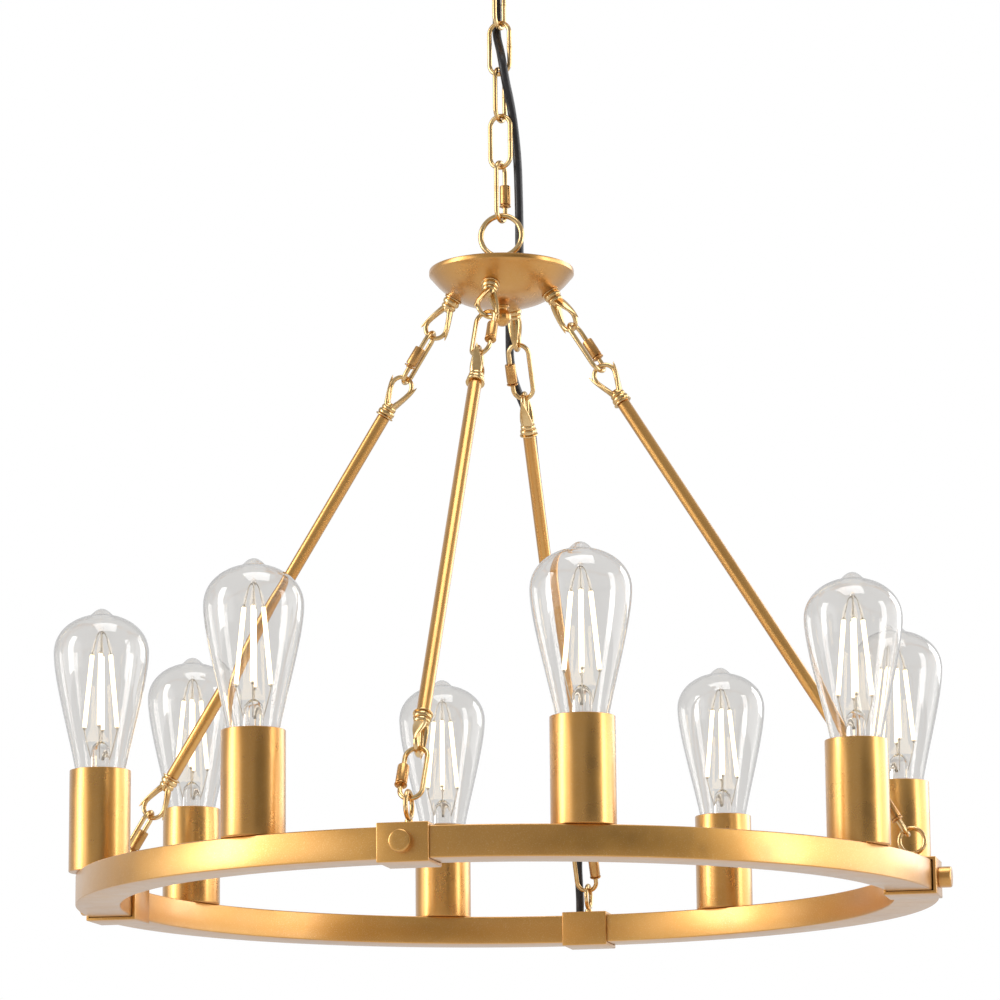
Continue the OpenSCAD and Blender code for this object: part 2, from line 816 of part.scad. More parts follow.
// Lampholders, each with the bore that takes a lamp's screw cap
module lampholders() {
    foot_z = cup_wall + 5.4;
    top_z = cup_h - 9;
    color("#e7e3da")
        each_cup()
            difference() {
                translate([0, 0, foot_z])
                    cylinder(d = holder_d, h = top_z - foot_z);
                translate([0, 0, cup_h - cap_depth - 0.4])
                    cylinder(d = cap_d + 2 * fit, h = cup_h);
            }
}

// Supply wire that lies in the ring, with a riser through each cup's nipple
module ring_wiring() {
    wire = 3;
    wire_z = ring_z - ring_h + ring_wall + fit + wire / 2;
    color("#f0ece2") {
        translate([0, 0, wire_z])
            rotate_extrude($fn = 120)
                translate([ring_mid_r, 0])
                    circle(d = wire, $fn = 20);
        each_cup()
            translate([0, 0, wire_z - ring_z])
                cylinder(d = wire - 0.5, h = ring_z - wire_z + cup_wall + 5);
    }
}

// ---------- lamps ----------

// A curve from a to d that heads for b and arrives from c
function bow(a, b, c, d, n) = [
    for (i = [0:n])
        let (t = i / n, s = 1 - t)
            s * s * s * a + 3 * s * s * t * b + 3 * s * t * t * c + t * t * t * d
];

// Outline of the lamp's glass from its cap to its tip, with heights above the cup's rim
neck_r = cap_d / 2 + 0.6;
belly_z = 0.725 * lamp_rise;
pip_z = lamp_rise - 5;
glass_outline = concat(
    bow([neck_r, -7], [neck_r + 0.8, -4], [16.2, -2], [17, 2], 4),
    [for (p = bow([17, 2], [21.5, 25], [lamp_d / 2, belly_z - 18], [lamp_d / 2, belly_z], 8)) p],
    bow([lamp_d / 2, belly_z], [lamp_d / 2, belly_z + 15], [19, pip_z - 2], [8.4, pip_z], 8),
    bow([8.4, pip_z], [6.4, pip_z + 1], [4.6, lamp_rise], [0, lamp_rise], 4)
);

// The outline's points, each drawn in by the wall
function drawn_in(p, i, wall) =
    let (a = p[max(i - 1, 0)], b = p[min(i + 1, len(p) - 1)], t = unit(b - a))
        [max(p[i][0] - wall * t[1], 0), p[i][1] + wall * t[0]];
function distinct(p) = [for (i = [0:len(p) - 1]) if (i == 0 || norm(p[i] - p[i - 1]) > 0.05) p[i]];

module at_lamp(k) {
    rotate([0, 0, cup_az[k - 1]])
        translate([ring_mid_r, 0, cup_rim_z])
            children();
}

module lamp_glass(k) {
    outer = distinct(glass_outline);
    inner = [for (i = [len(outer) - 1:-1:0]) drawn_in(outer, i, glass_wall)];
    color("#e8eef2", 0.35)
        at_lamp(k)
            rotate_extrude($fn = 48)
                polygon(concat(outer, inner));
}

// Screw cap, glass stem and the cage of light sticks
module lamp_core(k) {
    low_r = 11.4;
    low_z = 29;
    high_r = 6.6;
    high_z = 79;
    color("#d9b878")
        at_lamp(k) {
            translate([0, 0, -cap_depth])
                cylinder(d1 = 9, d2 = 15, h = 6.2);
            translate([0, 0, 6 - cap_depth])
                cylinder(d = cap_d, h = cap_depth - 6 - 7.3);
            translate([0, 0, -7.4])
                cylinder(d1 = 22, d2 = 11, h = 8);
            cylinder(d = 11, h = 14);
            translate([0, 0, 13.9])
                cylinder(d1 = 11, d2 = 6, h = 5);
            for (i = [0:sticks - 1])
                rotate([0, 0, 360 * i / sticks]) {
                    bar([4, 0, 13], [low_r, 0, low_z], 1);
                    bar([low_r, 0, low_z], [high_r, 0, high_z], stick_d);
                    bar([high_r, 0, high_z], [3, 0, high_z + 9], 0.9);
                }
            translate([0, 0, high_z + 8.6])
                cylinder(r = 3.5, h = 0.9);
        }
}

// A straight round bar between two points
module bar(a, b, d) {
    v = b - a;
    translate(a)
        rotate([0, acos(v[2] / norm(v)), atan2(v[1], v[0])])
            cylinder(d = d, h = norm(v), $fn = 16);
}

// ---------- what is drawn ----------

crossbar();
canopy_nipple();
canopy_loop();
canopy();
canopy_collar();
chain_link_top();
chain_links();
top_screw_link();
top_link_nut();
cord_top();
cord_middle();
cord_bottom();
cord_lower();
hub_bowl();
hub_cover();
hub_loop();
hub_stem();
hub_hooks();
hub_bushings();
finial();
for (k = [1:4]) {
    rod(k);
    rod_hooks(k);
    screw_links(k);
    ring_segment(k);
}
sleeves();
sleeve_bolts();
ring_eyes();
sleeve_bushing();
lamp_cups();
lampholders();
cup_nipples();
ring_wiring();
for (k = [1:8]) {
    lamp_glass(k);
    lamp_core(k);
}
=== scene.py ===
import math
import bpy
from mathutils import Matrix, Vector


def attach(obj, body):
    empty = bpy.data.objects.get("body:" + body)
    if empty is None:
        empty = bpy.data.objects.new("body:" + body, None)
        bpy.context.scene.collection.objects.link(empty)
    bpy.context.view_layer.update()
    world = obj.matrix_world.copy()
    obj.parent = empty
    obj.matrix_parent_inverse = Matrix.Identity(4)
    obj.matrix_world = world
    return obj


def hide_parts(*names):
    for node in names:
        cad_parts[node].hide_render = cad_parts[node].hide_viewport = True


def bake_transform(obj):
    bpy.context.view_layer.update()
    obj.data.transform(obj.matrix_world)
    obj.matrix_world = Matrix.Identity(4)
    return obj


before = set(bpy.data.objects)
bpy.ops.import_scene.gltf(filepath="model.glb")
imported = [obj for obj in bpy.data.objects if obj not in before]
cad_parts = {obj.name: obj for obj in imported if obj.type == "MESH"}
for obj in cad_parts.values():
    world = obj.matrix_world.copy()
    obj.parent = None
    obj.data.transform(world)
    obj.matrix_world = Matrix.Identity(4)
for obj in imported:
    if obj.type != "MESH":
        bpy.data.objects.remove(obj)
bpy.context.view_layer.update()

# Sizes are in millimetres and places are those of the part's source, measured from the ceiling.
# Turns are in degrees, apart from the two that are made radians here.
MM = 0.001
CHAIN_TURN = math.radians(-12.5)
STRUT_TILT = math.radians(31.6814)
STRUT_DIRECTIONS = {1: -90, 2: 0, 3: 90, 4: 180}
HOOK_SEAT = (34.5, -293.994)
HUB_RIM, BOWL_BOTTOM = -276.0, -301.5
BOWL_EDGE, BOWL_RISE = 49.9, 21.5
RING_TOP, RING_BOTTOM = -700, -720
RING_INNER, RING_MIDDLE, RING_OUTER = 261, 276, 291
SHEET = 1.2
CUP_HEIGHT = 68.5
CUP_RIM = RING_TOP + CUP_HEIGHT
LAMP_DIRECTIONS = {k: -112.5 + 45 * (k - 1) for k in range(1, 9)}
LAMP_TURN = 12.6
LINK_WIRE = 3.2


# ---------- the camera ----------

# The camera's place and reach are in metres, its lens and sensor in millimetres.
CAMERA_PLACE = (0.6254, -2.7991, -1.0221)
CAMERA_HEADING, CAMERA_PITCH, CAMERA_ROLL = -12.644, 11.486, -0.516
SENSOR, FOCAL_LENGTH = 36, 152.7
NEAREST, FARTHEST = 0.05, 60


def set_camera():
    """Stands the camera where the photographer stood, a little below the ring, looking up."""
    heading, pitch, roll = (math.radians(a) for a in (CAMERA_HEADING, CAMERA_PITCH, CAMERA_ROLL))
    ahead = Vector((math.sin(heading) * math.cos(pitch),
                    math.cos(heading) * math.cos(pitch),
                    math.sin(pitch)))
    right = Vector((math.cos(heading), -math.sin(heading), 0))
    up = right.cross(ahead)
    leaning = right * math.cos(roll) + up * math.sin(roll)
    upright = up * math.cos(roll) - right * math.sin(roll)
    turn = Matrix((leaning, upright, -ahead)).transposed().to_4x4()
    lens = bpy.data.cameras.new("camera")
    lens.sensor_width = SENSOR
    lens.lens = FOCAL_LENGTH
    lens.clip_start, lens.clip_end = NEAREST, FARTHEST
    camera = bpy.data.objects.new("camera", lens)
    camera.matrix_world = Matrix.Translation(CAMERA_PLACE) @ turn
    bpy.context.collection.objects.link(camera)
    bpy.context.scene.camera = camera


set_camera()


# ---------- handling ----------

def put_down():
    """Leaves edit mode and lets go of everything."""
    if bpy.context.object and bpy.context.object.mode != "OBJECT":
        bpy.ops.object.mode_set(mode="OBJECT")
    bpy.ops.object.select_all(action="DESELECT")


def pick_up(piece):
    """Picks one piece alone."""
    put_down()
    piece.select_set(True)
    bpy.context.view_layer.objects.active = piece
    return piece


def settle(piece, where=None):
    """Puts the piece's place into its mesh, so that its object lies at the origin."""
    if where is not None:
        piece.matrix_world = where
    pick_up(piece)
    bpy.ops.object.transform_apply(location=True, rotation=True, scale=True)
    return piece


def another(piece, name, where):
    """A copy of a finished piece, with its own mesh, set in its place."""
    copy = piece.copy()
    copy.data = piece.data.copy()
    copy.name = name
    bpy.context.collection.objects.link(copy)
    return settle(copy, where)


def throw_away(*pieces):
    put_down()
    for piece in pieces:
        bpy.data.objects.remove(piece, do_unlink=True)


def joined(name, pieces):
    """Makes one piece of several."""
    put_down()
    for piece in pieces:
        piece.select_set(True)
    bpy.context.view_layer.objects.active = pieces[0]
    bpy.ops.object.join()
    bpy.context.object.name = name
    return bpy.context.object


def smooth(piece, degrees=32):
    pick_up(piece)
    bpy.ops.object.shade_smooth_by_angle(angle=math.radians(degrees))
    return piece


def turned(name, outline, steps=48, shut=False, degrees=360):
    """Turns a piece on the lathe from its outline, [(radius, height), ...] in millimetres."""
    put_down()
    bpy.ops.mesh.primitive_plane_add(size=MM)
    piece = bpy.context.object
    piece.name = name
    bpy.ops.object.mode_set(mode="EDIT")
    bpy.ops.mesh.select_all(action="SELECT")
    bpy.ops.mesh.merge(type="CENTER")
    points = list(outline) + ([outline[0]] if shut else [])
    bpy.ops.transform.translate(value=(points[0][0] * MM, 0, points[0][1] * MM))
    for (r, h), (next_r, next_h) in zip(points[:-1], points[1:]):
        step = ((next_r - r) * MM, 0, (next_h - h) * MM)
        bpy.ops.mesh.extrude_region_move(TRANSFORM_OT_translate={"value": step})
    bpy.ops.mesh.select_all(action="SELECT")
    bpy.ops.mesh.spin(steps=steps, angle=math.radians(degrees), center=(0, 0, 0), axis=(0, 0, 1))
    bpy.ops.mesh.select_all(action="SELECT")
    bpy.ops.mesh.remove_doubles(threshold=1e-6)
    bpy.ops.mesh.normals_make_consistent(inside=False)
    bpy.ops.object.mode_set(mode="OBJECT")
    return smooth(piece)


def drawn_wire(name, points, diameter, round_sides=3, steps=6):
    """Draws a wire of that diameter along points in millimetres, then makes it a mesh."""
    put_down()
    line = bpy.data.curves.new(name, "CURVE")
    line.dimensions = "3D"
    line.bevel_depth = diameter / 2 * MM
    line.bevel_resolution = round_sides
    line.resolution_u = steps
    line.use_fill_caps = True
    spline = line.splines.new("BEZIER")
    spline.bezier_points.add(len(points) - 1)
    for i, p in enumerate(points):
        spline.bezier_points[i].co = Vector(p) * MM
        spline.bezier_points[i].handle_left_type = "AUTO"
        spline.bezier_points[i].handle_right_type = "AUTO"
        spline.bezier_points[i].radius = 1
    piece = bpy.data.objects.new(name, line)
    bpy.context.collection.objects.link(piece)
    pick_up(piece)
    bpy.ops.object.convert(target="MESH")
    piece = bpy.context.object
    piece.name = name
    return smooth(piece, 50)


def lengthen(x, y, z):
    """Draws the picked end of a piece on by that many millimetres."""
    bpy.ops.mesh.extrude_region_move(TRANSFORM_OT_translate={"value": (x * MM, y * MM, z * MM)})


def turned_by(degrees):
    """A turn about the vertical."""
    return Matrix.Rotation(math.radians(degrees), 4, "Z")


def moved_by(x, y, z):
    """A shift in millimetres."""
    return Matrix.Translation((x * MM, y * MM, z * MM))


def apply_modifiers(piece):
    pick_up(piece)
    for modifier in list(piece.modifiers):
        bpy.ops.object.modifier_apply(modifier=modifier.name)
    return piece


def cut_away(piece, *tools):
    """Cuts the tools' shapes out of a piece and throws the tools away."""
    for tool in tools:
        cut = piece.modifiers.new("cut", "BOOLEAN")
        cut.object = tool
        cut.solver = "EXACT"
    apply_modifiers(piece)
    throw_away(*tools)
    return piece


def block(name, low, high):
    """A block between two corners in millimetres."""
    put_down()
    bpy.ops.mesh.primitive_cube_add(size=1)
    piece = bpy.context.object
    piece.name = name
    middle = [(a + b) / 2 * MM for a, b in zip(low, high)]
    size = [(b - a) * MM for a, b in zip(low, high)]
    return settle(piece, Matrix.Translation(middle) @ Matrix.Diagonal((*size, 1)))


def pin(radius, low, high, place):
    """A round pin along the place's Z, between two heights in millimetres."""
    put_down()
    bpy.ops.mesh.primitive_cylinder_add(vertices=36, radius=radius * MM, depth=(high - low) * MM)
    piece = bpy.context.object
    here = Matrix.Translation((0, 0, (low + high) / 2 * MM))
    return settle(piece, place @ here)


def strut_place(k, along=0.0, turn=0.0, flip=False):
    """A place on strut k. Z runs from the hub down to the ring, X in the strut's upright plane."""
    place = (turned_by(STRUT_DIRECTIONS[k]) @ moved_by(HOOK_SEAT[0], 0, HOOK_SEAT[1])
             @ Matrix.Rotation(math.pi - STRUT_TILT, 4, "Y") @ moved_by(0, 0, along))
    if flip:
        place = place @ Matrix.Rotation(math.pi, 4, "X")
    return place @ turned_by(turn)


def lamp_place(k, turn=0.0, height=CUP_RIM):
    """The place of lamp k, at the middle of its cup's rim. All lamps face the same way."""
    a = math.radians(LAMP_DIRECTIONS[k])
    return moved_by(RING_MIDDLE * math.cos(a), RING_MIDDLE * math.sin(a), height) @ turned_by(turn)


# ---------- finishes ----------

class Finish:
    """A material with its node tree cleared down to one shader."""

    def __init__(self, name):
        self.material = bpy.data.materials.new(name)
        self.material.use_nodes = True
        self.nodes = self.material.node_tree.nodes
        self.links = self.material.node_tree.links
        self.nodes.clear()
        self.out = self.nodes.new("ShaderNodeOutputMaterial")
        self.shader = self.nodes.new("ShaderNodeBsdfPrincipled")
        self.links.new(self.shader.outputs[0], self.out.inputs[0])
        self.where = self.nodes.new("ShaderNodeTexCoord").outputs["Object"]

    def set(self, **values):
        for name, value in values.items():
            self.shader.inputs[name.replace("_", " ")].default_value = value
        return self

    def noise(self, scale, detail=2.0, rough=0.5, stretch=None):
        where = self.where
        if stretch:
            mapping = self.nodes.new("ShaderNodeMapping")
            mapping.inputs["Scale"].default_value = stretch
            self.links.new(where, mapping.inputs["Vector"])
            where = mapping.outputs[0]
        node = self.nodes.new("ShaderNodeTexNoise")
        node.inputs["Scale"].default_value = scale
        node.inputs["Detail"].default_value = detail
        node.inputs["Roughness"].default_value = rough
        self.links.new(where, node.inputs["Vector"])
        return node.outputs[0]

    def ramp(self, value, stops):
        node = self.nodes.new("ShaderNodeValToRGB")
        elements = node.color_ramp.elements
        while len(elements) < len(stops):
            elements.new(0.5)
        for element, (place, colour) in zip(elements, stops):
            element.position = place
            element.color = (*colour, 1)
        self.links.new(value, node.inputs[0])
        return node.outputs[0]

    def span(self, value, low, high, start=0.0, end=1.0):
        node = self.nodes.new("ShaderNodeMapRange")
        for name, number in (("From Min", start), ("From Max", end), ("To Min", low), ("To Max", high)):
            node.inputs[name].default_value = number
        self.links.new(value, node.inputs["Value"])
        return node.outputs[0]

    def blend(self, share, first, second, how="MIX"):
        node = self.nodes.new("ShaderNodeMix")
        node.data_type = "RGBA"
        node.blend_type = how
        for place, value in ((0, share), (6, first), (7, second)):
            socket = node.inputs[place]
            if hasattr(value, "links"):
                self.links.new(value, socket)
            else:
                socket.default_value = value if isinstance(value, float) else (*value, 1)
        return node.outputs[2]

    def colour(self, value):
        self.links.new(value, self.shader.inputs["Base Color"])
        return self

    def roughness(self, value):
        self.links.new(value, self.shader.inputs["Roughness"])
        return self

    def relief(self, *heights):
        """Stacks bumps, each (height, strength, distance in millimetres)."""
        below = None
        for height, strength, depth in heights:
            bump = self.nodes.new("ShaderNodeBump")
            bump.inputs["Strength"].default_value = strength
            bump.inputs["Distance"].default_value = depth * MM
            self.links.new(height, bump.inputs["Height"])
            if below is not None:
                self.links.new(below, bump.inputs["Normal"])
            below = bump.outputs[0]
        self.links.new(below, self.shader.inputs["Normal"])
        return self


def gold_paint(name="gold_paint", base=(0.68, 0.345, 0.064), deep=(0.56, 0.255, 0.030), rough=0.34,
               flake_size=1500, flake_relief=0.10):
    """Gold lacquer over a fine metal flake."""
    f = Finish(name).set(Metallic=1.0, Coat_Weight=0.9, Coat_Roughness=0.25, Coat_IOR=1.7)
    cloud = f.noise(9, 3, 0.6)
    flake = f.noise(flake_size, 2, 0.7)
    tone = f.ramp(cloud, [(0.3, deep), (0.72, base)])
    spark = f.ramp(flake, [(0.56, (0, 0, 0)), (0.72, (1, 1, 1))])
    f.colour(f.blend(f.span(spark, 0.0, 0.40), tone, (0.92, 0.68, 0.30)))
    f.roughness(f.span(f.noise(60, 4, 0.6), rough - 0.04, rough + 0.06, 0.3, 0.7))
    f.relief((flake, flake_relief, 0.05), (f.noise(260, 3), flake_relief * 0.3, 0.05))
    return f.material


def bright_brass(name="bright_brass", base=(0.76, 0.54, 0.27), deep=(0.58, 0.37, 0.15), rough=0.17):
    """Plated brass, brighter than the paint, with small handling marks."""
    f = Finish(name).set(Metallic=1.0)
    cloud = f.noise(70, 4, 0.6)
    f.colour(f.ramp(cloud, [(0.32, deep), (0.66, base)]))
    f.roughness(f.span(f.noise(420, 3), rough - 0.04, rough + 0.08, 0.3, 0.7))
    f.relief((f.noise(500, 2), 0.02, 0.02))
    return f.material


def plated_steel():
    f = Finish("plated_steel").set(Metallic=1.0)
    f.colour(f.ramp(f.noise(120, 4), [(0.35, (0.46, 0.47, 0.49)), (0.65, (0.66, 0.67, 0.70))]))
    f.roughness(f.span(f.noise(300, 3), 0.25, 0.42, 0.3, 0.7))
    f.relief((f.noise(700, 2), 0.1, 0.05))
    return f.material


def cord_jacket():
    """Black jacket of the round cord, with the faint ripple of the wires that are laid inside it."""
    f = Finish("cord_jacket").set(Specular_IOR_Level=0.45)
    f.colour(f.ramp(f.noise(500, 3), [(0.3, (0.009, 0.008, 0.009)), (0.7, (0.022, 0.019, 0.020))]))
    f.roughness(f.span(f.noise(300, 3), 0.30, 0.45, 0.3, 0.7))
    f.relief((f.noise(260, 2, stretch=(1, 1, 0.25)), 0.25, 0.2))
    return f.material


def bush_rubber():
    f = Finish("bush_rubber")
    f.colour(f.ramp(f.noise(400, 3), [(0.3, (0.012, 0.012, 0.013)), (0.7, (0.03, 0.03, 0.031))]))
    f.roughness(f.span(f.noise(200, 3), 0.5, 0.65))
    f.relief((f.noise(900, 2), 0.15, 0.05))
    return f.material


def holder_ceramic():
    f = Finish("holder_ceramic").set(Coat_Weight=0.35, Coat_Roughness=0.15)
    f.colour(f.ramp(f.noise(90, 3), [(0.35, (0.78, 0.76, 0.71)), (0.7, (0.86, 0.84, 0.80))]))
    f.roughness(f.span(f.noise(200, 3), 0.3, 0.45))
    f.relief((f.noise(350, 2), 0.08, 0.08))
    return f.material


def wire_sleeve():
    f = Finish("wire_sleeve")
    f.colour(f.ramp(f.noise(150, 3), [(0.35, (0.74, 0.72, 0.66)), (0.7, (0.83, 0.81, 0.76))]))
    f.roughness(f.span(f.noise(300, 3), 0.45, 0.6))
    f.relief((f.noise(500, 2), 0.1, 0.05))
    return f.material


def lamp_glass():
    """Clear blown glass: a little uneven, as blown glass is, with painted shade that greys its colour
    where it is seen edge on.
    """
    f = Finish("lamp_glass").set(Transmission_Weight=1.0, IOR=1.46)
    clear = f.ramp(f.noise(14, 2), [(0.3, (0.955, 0.945, 0.930)), (0.7, (0.970, 0.960, 0.948))])
    # Painted shade: the colour turns grey where the glass is seen edge on, which darkens its rims.
    painted_edge_shade = (0.62, 0.61, 0.60)
    slant = f.nodes.new("ShaderNodeLayerWeight")
    slant.inputs["Blend"].default_value = 0.5
    edge_shade_share = f.span(slant.outputs["Facing"], 0.0, 1.0, 0.60, 0.97)
    f.colour(f.blend(edge_shade_share, clear, painted_edge_shade))
    f.roughness(f.span(f.noise(30, 2), 0.0, 0.012))
    f.relief((f.noise(28, 2, stretch=(1, 1, 0.5)), 0.06, 1.2))
    return f.material


def light_stick():
    """The yellow coat of a light stick, lit."""
    f = Finish("light_stick").set(Emission_Strength=2.6, Roughness=0.5)
    f.colour(f.ramp(f.noise(900, 2), [(0.3, (0.95, 0.72, 0.30)), (0.7, (1.0, 0.80, 0.40))]))
    glow = f.ramp(f.noise(700, 2), [(0.2, (1.0, 0.74, 0.42)), (0.6, (1.0, 0.86, 0.62))])
    f.links.new(glow, f.shader.inputs["Emission Color"])
    f.material.cycles.emission_sampling = "NONE"
    return f.material


def stick_wire():
    f = Finish("stick_wire").set(Metallic=1.0)
    f.colour(f.ramp(f.noise(600, 3), [(0.3, (0.45, 0.40, 0.34)), (0.7, (0.72, 0.66, 0.56))]))
    f.roughness(f.span(f.noise(500, 3), 0.22, 0.4))
    return f.material


def cap_metal():
    f = Finish("cap_metal").set(Metallic=1.0)
    f.colour(f.ramp(f.noise(160, 3), [(0.35, (0.60, 0.47, 0.24)), (0.65, (0.78, 0.64, 0.38))]))
    f.roughness(f.span(f.noise(400, 3), 0.25, 0.4))
    f.relief((f.noise(800, 2), 0.08, 0.05))
    return f.material


GOLD = gold_paint()
SATIN = gold_paint("satin_gold", rough=0.28, flake_size=2600, flake_relief=0.02)
BRASS = bright_brass()
BARREL = bright_brass("barrel_brass", base=(0.62, 0.35, 0.13), deep=(0.46, 0.23, 0.07), rough=0.28)
STEEL = plated_steel()
JACKET = cord_jacket()
BUSH = bush_rubber()
CERAMIC = holder_ceramic()
SLEEVING = wire_sleeve()
GLASS = lamp_glass()
LIGHT = light_stick()
WIRE = stick_wire()
CAP = cap_metal()


def finish_with(piece, material):
    """Gives a new piece its material."""
    piece.data.materials.clear()
    piece.data.materials.append(material)
    return piece


def finish_nodes(material, *names):
    """Gives carried-over CAD nodes a better material."""
    for name in names:
        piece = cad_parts[name]
        if not piece.material_slots:
            piece.data.materials.append(material)
        for slot in piece.material_slots:
            slot.material = material


# ---------- cords ----------

# The routes are those of the part's source. CHAIN_ROUTE turns with the chain, LOWER_ROUTE is
# measured along the back strut, and the two others stand in the object's own frame.
CHAIN_ROUTE = [
    (0, 0, -3), (0, 0, -20), (0, 0, -34), (-0.4, 0.6, -41), (-1.2, 1.4, -47), (-2.8, 3.8, -52),
    (-4.4, 6.2, -58), (-5.4, 7.8, -65), (-5.6, 8.2, -73), (-5.4, 8, -82),
    (-5.2, 7.4, -91), (-5, 6.2, -98), (-4, 4.8, -104), (-1.8, 2.4, -110),
    (0.8, -0.6, -116), (3.2, -3.8, -122), (5, -5.6, -128), (5.8, -5.2, -134), (6.2, -2.6, -142),
    (6.4, 1.2, -150), (6.6, 4.4, -158), (7.4, 5.8, -167), (8.6, 6.2, -178), (9.3, 7.2, -190),
    (9.6, 8.2, -203), (9.6, 8.9, -216), (9.5, 9.6, -229), (9.2, 10.5, -242),
]
HUB_ROUTE = [(11, 9, -254), (11, 9, -268), (11, 9, -290)]
LOWER_ROUTE = [
    (-6, -6.5, 12), (-6, -1, 12), (-6, 7, 12), (-6.4, 16, 11.8), (-7.6, 28, 10.8),
    (-8.6, 40, 9.8), (-8.4, 52, 9.6), (-6.8, 64, 10.6), (-4.2, 75, 11.6), (-1.6, 86, 11.6),
    (0, 98, 10.6), (0, 112, 9), (0, 130, 8), (0, 160, 7.9), (0, 200, 7.9), (0, 250, 7.9),
    (0, 300, 7.9), (0, 345, 7.9), (0, 366, 8.4), (0, 380, 10), (-0.8, 392, 11.4),
    (-2.6, 404, 12.2), (-4.6, 417, 12.2), (-6, 430, 11.4), (-7, 441, 9.6),
]
DROP_ROUTE = [(-7.5, 278.6, -674), (-7.5, 281, -686), (-7.5, 281, -696), (-7.5, 281, -706)]
CORD = 6.0


def beside_chain(p):
    """A place of CHAIN_ROUTE in the object's frame."""
    c, s = math.cos(CHAIN_TURN), math.sin(CHAIN_TURN)
    return (p[0] * c - p[1] * s, p[0] * s + p[1] * c, p[2])


def beside_strut(q):
    """A place of LOWER_ROUTE, (aside, along, above the strut), in the object's frame."""
    s, c = math.sin(STRUT_TILT), math.cos(STRUT_TILT)
    return (q[0], HOOK_SEAT[0] + q[1] * s + q[2] * c, HOOK_SEAT[1] - q[1] * c + q[2] * s)


ROUTE_STEPS = 4


def soft_line(points, steps=ROUTE_STEPS):
    """A soft curve through the points, with a few steps between two of them."""
    p = [Vector(q) for q in points]
    line = []
    for i in range(len(p) - 1):
        a, b, c, d = p[max(i - 1, 0)], p[i], p[i + 1], p[min(i + 2, len(p) - 1)]
        for n in range(steps):
            t = n / steps
            line.append(0.5 * (2 * b + (c - a) * t + (2 * a - 5 * b + 4 * c - d) * t * t
                               + (3 * b - a - 3 * c + d) * t ** 3))
    return line + [p[-1]]


def cord_piece(name, node, line):
    """One stretch of the cord, swept along its line, in place of its node."""
    put_down()
    curve = bpy.data.curves.new(name, "CURVE")
    curve.dimensions = "3D"
    curve.bevel_depth = CORD / 2 * MM
    curve.bevel_resolution = 6
    curve.use_fill_caps = True
    spline = curve.splines.new("POLY")
    spline.points.add(len(line) - 1)
    for point, place in zip(spline.points, line):
        point.co = (*(place * MM), 1)
    piece = bpy.data.objects.new(name, curve)
    bpy.context.collection.objects.link(piece)
    pick_up(piece)
    bpy.ops.object.convert(target="MESH")
    piece = bpy.context.object
    piece.name = name
    smooth(piece, 50)
    finish_with(piece, JACKET)
    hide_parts(node)
    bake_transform(piece)
    return piece


def hang_cords():
    """Hangs the upper cord in three stretches, one for each joint that it crosses, and the lower."""
    upper = soft_line([beside_chain(p) for p in CHAIN_ROUTE] + HUB_ROUTE)
    cuts = [0, 8 * ROUTE_STEPS, 14 * ROUTE_STEPS, len(upper) - 1]
    names = ("cord_top", "cord_middle", "cord_bottom")
    stops = (("ceiling", "top_link", (0, 0, -60), (0, 0, -71)),
             ("top_link", "chain", (0, 0, -93), (0, 0, -106)),
             ("chain", "hub", (0, 0, -222), (0, 0, -250)))
    for name, stop, first, last in zip(names, stops, cuts[:-1], cuts[1:]):
        cord_piece(name + "_jacket", name, upper[first:last + 1])
    lower = soft_line([beside_strut(q) for q in LOWER_ROUTE] + DROP_ROUTE)
    cord_piece("cord_lower_jacket", "cord_lower", lower)


hang_cords()


# ---------- lamps ----------

def bow(a, b, c, d, n):
    """Points on a curve from a to d that heads for b and arrives from c."""
    line = []
    for i in range(n + 1):
        t = i / n
        s = 1 - t
        line.append(tuple(s ** 3 * a[j] + 3 * s * s * t * b[j] + 3 * s * t * t * c[j] + t ** 3 * d[j]
                          for j in (0, 1)))
    return line


GLASS_WALL = 0.75
STICK_LENGTH = 50
SUPPORT_WIRE, POST_WIRE = 0.7, 0.8


def glass_outline():
    """The pear shape of the glass, from its open foot to the tip where it was sealed, and back."""
    outer = bow((13.6, -7), (14.4, -4), (16.2, -2), (17, 2), 5)
    outer += bow((17, 2), (21.5, 25), (32, 61.75), (32, 79.75), 14)[1:]
    outer += bow((32, 79.75), (32, 94.75), (19, 103), (8.6, 105), 14)[1:]
    outer += bow((8.6, 105), (6.4, 105.8), (4.6, 110), (0, 110), 8)[1:]
    inner = []
    for i, (r, h) in enumerate(outer):
        a, b = outer[max(i - 1, 0)], outer[min(i + 1, len(outer) - 1)]
        across = Vector((b[0] - a[0], b[1] - a[1])).normalized()
        inner.append((max(r - GLASS_WALL * across[1], 0), h + GLASS_WALL * across[0]))
    return outer + inner[::-1]


